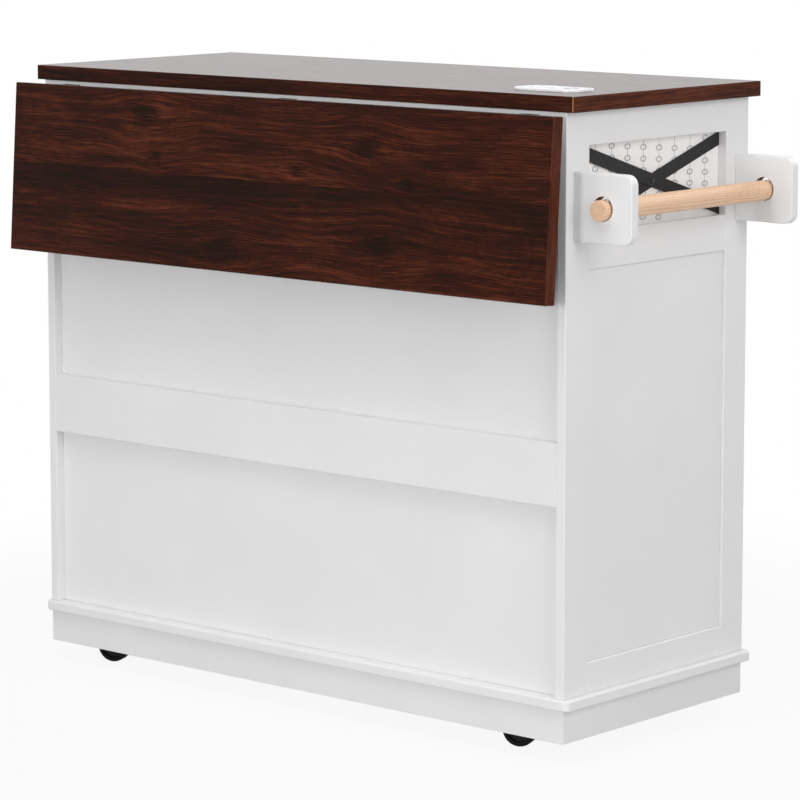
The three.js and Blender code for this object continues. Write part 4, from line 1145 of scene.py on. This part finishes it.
leaf_pin, strut_pin = (Vector(joints[name]["pos_m"]) for name in ("leaf_hinge", "leaf_strut_hinge"))
down_leaf = Vector((0, -math.sin(HANG), -math.cos(HANG)))
off_leaf = Vector((0, math.cos(HANG), -math.sin(HANG)))
for side in ("left", "middle", "right"):
    plate_node, arm_node = f"leaf_bracket_plate_{side}", f"leaf_bracket_arm_{side}"
    low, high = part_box(plate_node)
    middle_x = (low.x + high.x) / 2
    parts = [eased_copy("plate", powder_coat, plate_node, PRESSED_EDGE)]
    for z in (leaf_pin.z - PLATE_SCREW_BELOW, strut_pin.z + PLATE_SCREW_ABOVE):
        parts.append(screw_in((middle_x, high.y - STRIP, z), -FORWARD))
    hand_over(join(f"{plate_node}_pressed", *parts), "black_steel", "cabinet", plate_node)

    parts = [eased_copy("arm", powder_coat, arm_node, PRESSED_EDGE)]
    for down in ARM_SCREWS:
        at = Vector((middle_x, *leaf_pin.yz)) + down_leaf * down - off_leaf * ARM_WEB_OFF
        parts.append(screw_in(at, off_leaf))
    hand_over(join(f"{arm_node}_pressed", *parts), "black_steel", "leaf", arm_node)
    if side != "middle":
        strut_node = f"leaf_bracket_strut_{side}"
        strut = eased_copy(f"{strut_node}_pressed", powder_coat, strut_node, PRESSED_EDGE)
        hand_over(strut, "black_steel", "leaf_struts", strut_node)
discard(screw)

# ---- Towel rail ----
# A turned beech bar lies in two white bracket boards with large bored holes, whose walls are bare
# brown fibreboard. A small plastic peg in each hole keeps the bar from sliding out.
BRACKET_CORNER = 15 * MM
BRACKET_EDGE = 1.4 * MM
HOLE_RADIUS = 17 * MM
HOLE_EASE = 0.5 * MM
BAR_CHAMFER = 1.2 * MM
PEG_RADIUS = 1.9 * MM
PEG_EDGE = 0.5 * MM
PEG_SUNK, PEG_RISE = 1 * MM, 3.6 * MM  # inside the bar and out of it
PEG_FROM_FACE = 4 * MM  # from the bracket's back face
PEG_LEAN = math.radians(24)
BEECH_DARK = "#cf9c75"
BEECH_LIGHT = "#efccac"
BEECH_FIBRE = 0.9 * MM
BEECH_RELIEF = 0.2 * MM
BEECH_RING = 3.2 * MM
BEECH_SWAY = 4 * MM
BEECH_TILT = math.radians(28)  # the rings lie at this angle to the bar's own axes
# The beech's patterns, in cycles per metre across, along and up the bar.
BEECH_WAVES = (60, 4, 60)
BEECH_FIBRES = (1 / BEECH_FIBRE, 14, 1 / BEECH_FIBRE)
BEECH_FLECKS = (420, 130, 420)
RAW_MDF = ("#6b4c34", "#8b6848")


def turned_beech():
    """Beech lengthwise along Y: its rings run as long flat streaks, and as arcs on its ends. Oiled, it
    is a pale pinkish brown with short dark flecks."""
    material, tree, shader = new_material("oiled_turned_beech", BEECH_LIGHT, 0.5)
    at = add_node(tree, "TexCoord").outputs["Object"]
    tilted = add_node(tree, "Mapping", {"Vector": at, "Rotation": (0, BEECH_TILT, 0)})
    waves = wood_noise(tree, at, BEECH_WAVES, 2.0)
    sway = add_node(tree, "MapRange", [waves, 0.0, 1.0, -BEECH_SWAY, BEECH_SWAY])
    height = add_node(tree, "SeparateXYZ", [tilted]).outputs["Z"]
    level = add_node(tree, "Math", [height, sway], operation="ADD")
    rings = add_node(tree, "Math", [level, BEECH_RING], operation="DIVIDE")
    ring = add_node(tree, "Math", [rings], operation="FRACT")
    fibres = wood_noise(tree, at, BEECH_FIBRES, 3.0, 0.6)
    flecks = wood_noise(tree, at, BEECH_FLECKS, 1.0)
    fleck = add_node(tree, "MapRange", [flecks, 0.62, 0.72, 0.0, 0.35])
    shade = add_node(tree, "Math", [ring, 0.5, 0.04], operation="MULTIPLY_ADD")
    shade = add_node(tree, "Math", [fibres, 0.6, shade], operation="MULTIPLY_ADD")
    shade = add_node(tree, "Math", [shade, fleck], operation="SUBTRACT")
    tone = add_node(tree, "ValToRGB", [shade], stops=[(0.15, BEECH_DARK), (0.75, BEECH_LIGHT)])
    tree.links.new(tone.outputs[0], shader.inputs["Base Color"])
    bump = add_node(tree, "Bump", {"Height": fibres, "Strength": 0.15, "Distance": BEECH_RELIEF})
    tree.links.new(bump.outputs[0], shader.inputs["Normal"])
    return material


beech = turned_beech()
# The wall of a bored hole is rough brown fibreboard.
raw_mdf = clouded(
    "bare_mdf_edge", RAW_MDF, cloud=4 * MM, grit=0.7 * MM, roughness=(0.75, 0.95), relief=0.4
)
bar_low, bar_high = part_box("towel_bar")
bar_middle = (bar_low + bar_high) / 2
bar_radius = (bar_high.z - bar_low.z) / 2


def bored_board(name, low, high, hole):
    """A board across Y with its two outer corners round and one large hole, eased all over."""
    board = block(name, lacquer, low, high)
    outer = high.x - NEAR
    round_edges(
        board,
        BRACKET_CORNER,
        segments=12,
        test=lambda middle, along: abs(along.y) > ALIGNED and middle.x > outer,
    )
    ease_edges(board, BRACKET_EDGE, over=50)
    start, end = Vector((hole.x, low.y + HOLE_EASE, hole.z)), Vector((hole.x, high.y - HOLE_EASE, hole.z))
    bore = rod("bore", lacquer, start, end, HOLE_RADIUS, sides=72)
    for outward, face_middle in ((-FORWARD, start), (FORWARD, end)):
        pick(bore, "EDIT")
        choose(bore, "FACE", facing(outward))
        flare = outward * 2 * HOLE_EASE
        bpy.ops.mesh.extrude_region_move(TRANSFORM_OT_translate={"value": flare})
        wider = 1 + 2 * HOLE_EASE / HOLE_RADIUS
        bpy.ops.transform.resize(value=(wider, 1, wider), center_override=face_middle + flare)
        close_edit()
    drill(board, bore)
    smooth(board)
    return board


for side in ("back", "front"):
    low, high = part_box(f"towel_bracket_{side}")
    hole = Vector((bar_middle.x, 0, (low.z + high.z) / 2))
    bracket = bored_board(f"towel_bracket_{side}_board", low, high, hole)
    bracket.data.materials.append(raw_mdf)
    for face in bracket.data.polygons:
        from_hole = (face.center - hole).xz.length
        if from_hole < HOLE_RADIUS + NEAR and abs(face.normal.y) < 1 - ALIGNED:
            face.material_index = 1  # the wall of the hole
    hand_over(bracket, "white_mdf", "cabinet", f"towel_bracket_{side}")

    outward = Vector((math.sin(PEG_LEAN), 0, math.cos(PEG_LEAN)))
    foot = Vector((bar_middle.x, low.y + PEG_FROM_FACE, bar_middle.z))
    peg_foot, peg_top = foot + outward * (bar_radius - PEG_SUNK), foot + outward * (bar_radius + PEG_RISE)
    peg = rod(f"towel_bar_peg_{side}", abs_white, peg_foot, peg_top, PEG_RADIUS, sides=24)
    ease_edges(peg, PEG_EDGE)
    hand_over(peg, "white_plastic", "cabinet")

bar_start, bar_end = bar_middle.copy(), bar_middle.copy()
bar_start.y, bar_end.y = bar_low.y, bar_high.y
towel_bar = rod("towel_bar_turned", beech, bar_start, bar_end, bar_radius, sides=72)
ease_edges(towel_bar, BAR_CHAMFER, segments=2, over=60)
hand_over(towel_bar, "beech", "cabinet", "towel_bar")

# ---- Casters ----
# Four black swivel casters: a pressed steel fork under a ball race, and a soft rubber tyre moulded
# round a nylon hub that turns on a riveted axle.
WHEEL_WIDTH = 22 * MM
TYRE_DEPTH = 7 * MM
TYRE_SHOULDER = 4 * MM
WEB_INSET = 4 * MM
WEB_WALL = 0.8 * MM
HUB_RADIUS = 9 * MM
HUB_WALL = 0.6 * MM
BORE_RADIUS = 3.4 * MM
BORE_DEPTH = 3 * MM
BORE_WALL = 0.1 * MM
WHEEL_EDGE = 0.4 * MM
FORK_EDGE = 0.6 * MM

# Moulded rubber is a dull black, and the nylon hub in it a little paler and shinier.
rubber = clouded(
    "black_moulded_rubber",
    ("#080808", "#101010"),
    cloud=9 * MM,
    grit=0.9 * MM,
    roughness=(0.5, 0.68),
    relief=0.2,
    specular=0.12,
)
hub_nylon = clouded(
    "black_nylon_hub",
    ("#0c0c0d", "#141415"),
    cloud=12 * MM,
    grit=1.4 * MM,
    roughness=(0.34, 0.46),
    relief=0.1,
    specular=0.15,
)
first_roll = joints[f"caster_{CASTERS[0]}_roll"]
axle, axis = Vector(first_roll["pos_m"]), Vector(first_roll["axis"]).normalized()
low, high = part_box(f"caster_{CASTERS[0]}_wheel")
radius = (high.z - low.z) / 2
half = axis * WHEEL_WIDTH / 2
wheel = rod("wheel", rubber, axle - half, axle + half, radius, sides=96)
pick(wheel, "EDIT")
choose(wheel, "FACE", lambda middle, normal: abs(normal.dot(axis)) > ALIGNED)
for width, rise in (
    (TYRE_DEPTH, 0),
    (WEB_WALL, -WEB_INSET),
    (radius - TYRE_DEPTH - WEB_WALL - HUB_RADIUS, 0),
    (HUB_WALL, WEB_INSET),
    (HUB_RADIUS - HUB_WALL - BORE_RADIUS, 0),
    (BORE_WALL, -BORE_DEPTH),
):
    bpy.ops.mesh.inset(thickness=width, depth=rise, use_individual=True)
close_edit()
shoulder = math.hypot(radius, WHEEL_WIDTH / 2) - NEAR
round_edges(
    wheel,
    TYRE_SHOULDER,
    segments=5,
    test=lambda middle, along: (middle - axle).length > shoulder,
)
ease_edges(wheel, WHEEL_EDGE, segments=2, over=50)
wheel.data.materials.append(hub_nylon)
for face in wheel.data.polygons:
    off = face.center - axle
    if (off - axis * off.dot(axis)).length < radius - TYRE_DEPTH + NEAR:
        face.material_index = 1

for corner in CASTERS:
    wheel_node, fork_node = f"caster_{corner}_wheel", f"caster_{corner}_fork"
    to_axle = Matrix.Translation(Vector(joints[f"caster_{corner}_roll"]["pos_m"]) - axle)
    tyre_and_hub = copy_placed(wheel, f"caster_{corner}_tyre_and_hub", to_axle)
    hand_over(tyre_and_hub, "black_rubber", wheel_node, wheel_node)
    fork = eased_copy(f"{fork_node}_pressed", powder_coat, fork_node, FORK_EDGE)
    hand_over(fork, "black_steel", fork_node, fork_node)
discard(wheel)

# ---- Stage ----
# A plain pale floor and a white surround, lit by broad soft lamps. The eye sees the surround and most
# of the floor as plain white, and what is left of the floor takes the shadow.
FLOOR_COLOUR = "#c0c0c0"
FLOOR_SIZE = 16
FLOOR_WHITE = 0.92  # share of the floor that is plain white to the eye near the object
SHADOW_FROM, SHADOW_TO = 0.9, 1.7  # the shadow fades out between these distances from the middle
SOFT_COLOUR = "#f5f5f6"
SOFT_STRENGTH = 0.41
WHITE = "#ffffff"

world = bpy.data.worlds.new("white_surround")
bpy.context.scene.world = world
world.use_nodes = True
sky = world.node_tree
soft = sky.nodes["Background"]
soft.inputs["Color"].default_value = linear(SOFT_COLOUR)
soft.inputs["Strength"].default_value = SOFT_STRENGTH


def seen_by_eye(tree):
    """1 for rays from the camera and for mirrored or passed ones, 0 for the rest."""
    path = add_node(tree, "LightPath").outputs
    direct = add_node(tree, "Math", [path["Is Camera Ray"], path["Is Glossy Ray"]], operation="MAXIMUM")
    return add_node(tree, "Math", [direct, path["Is Transmission Ray"]], operation="MAXIMUM")


white = add_node(sky, "Background", {"Color": linear(WHITE), "Strength": 1.0})
surround = add_node(sky, "MixShader", [seen_by_eye(sky), soft, white])
sky.links.new(surround.outputs[0], sky.nodes["World Output"].inputs["Surface"])

bpy.ops.object.select_all(action="DESELECT")
bpy.ops.mesh.primitive_plane_add(size=FLOOR_SIZE, location=(0, 0, 0))
floor = bpy.context.object
floor.name = "floor"
floor_material, floor_tree, floor_shader = new_material("pale_floor", FLOOR_COLOUR, 0.9)
floor_at = add_node(floor_tree, "TexCoord").outputs["Object"]
off_middle = add_node(floor_tree, "VectorMath", [floor_at], operation="LENGTH").outputs["Value"]
fade_out = [off_middle, SHADOW_FROM, SHADOW_TO, FLOOR_WHITE, 1.0]
whiteness = add_node(floor_tree, "MapRange", fade_out, interpolation_type="SMOOTHSTEP")
share = add_node(floor_tree, "Math", [seen_by_eye(floor_tree), whiteness], operation="MULTIPLY")
glow = add_node(floor_tree, "Emission", {"Color": linear(WHITE), "Strength": 1.0})
floor_mix = add_node(floor_tree, "MixShader", [share, floor_shader, glow])
floor_tree.links.new(floor_mix.outputs[0], floor_tree.nodes["Material Output"].inputs["Surface"])
floor.data.materials.append(floor_material)


def lamp(name, at, towards, size, power):
    data = bpy.data.lights.new(name, "AREA")
    data.shape = "SQUARE"
    data.size = size
    data.energy = power
    light = bpy.data.objects.new(name, data)
    light.location = at
    light.rotation_euler = (Vector(towards) - Vector(at)).to_track_quat("-Z", "Y").to_euler()
    bpy.context.scene.collection.objects.link(light)


lamp("key_lamp", (-2.2, -3.6, 2.4), (0, 0, 0.5), size=2.4, power=8)
lamp("end_lamp", (3.8, -1.0, 2.0), (0, 0, 0.5), size=2.4, power=55)
lamp("camera_side_lamp", (0.6, -5.0, 1.22), (0, 0, 0.8), size=0.8, power=67)
lamp("front_lamp", (0.7, 4.4, 2.2), (0, 0, 0.5), size=2.0, power=66)
lamp("top_lamp", (0.4, -1.2, 3.6), (0, 0, 0), size=2.0, power=42)
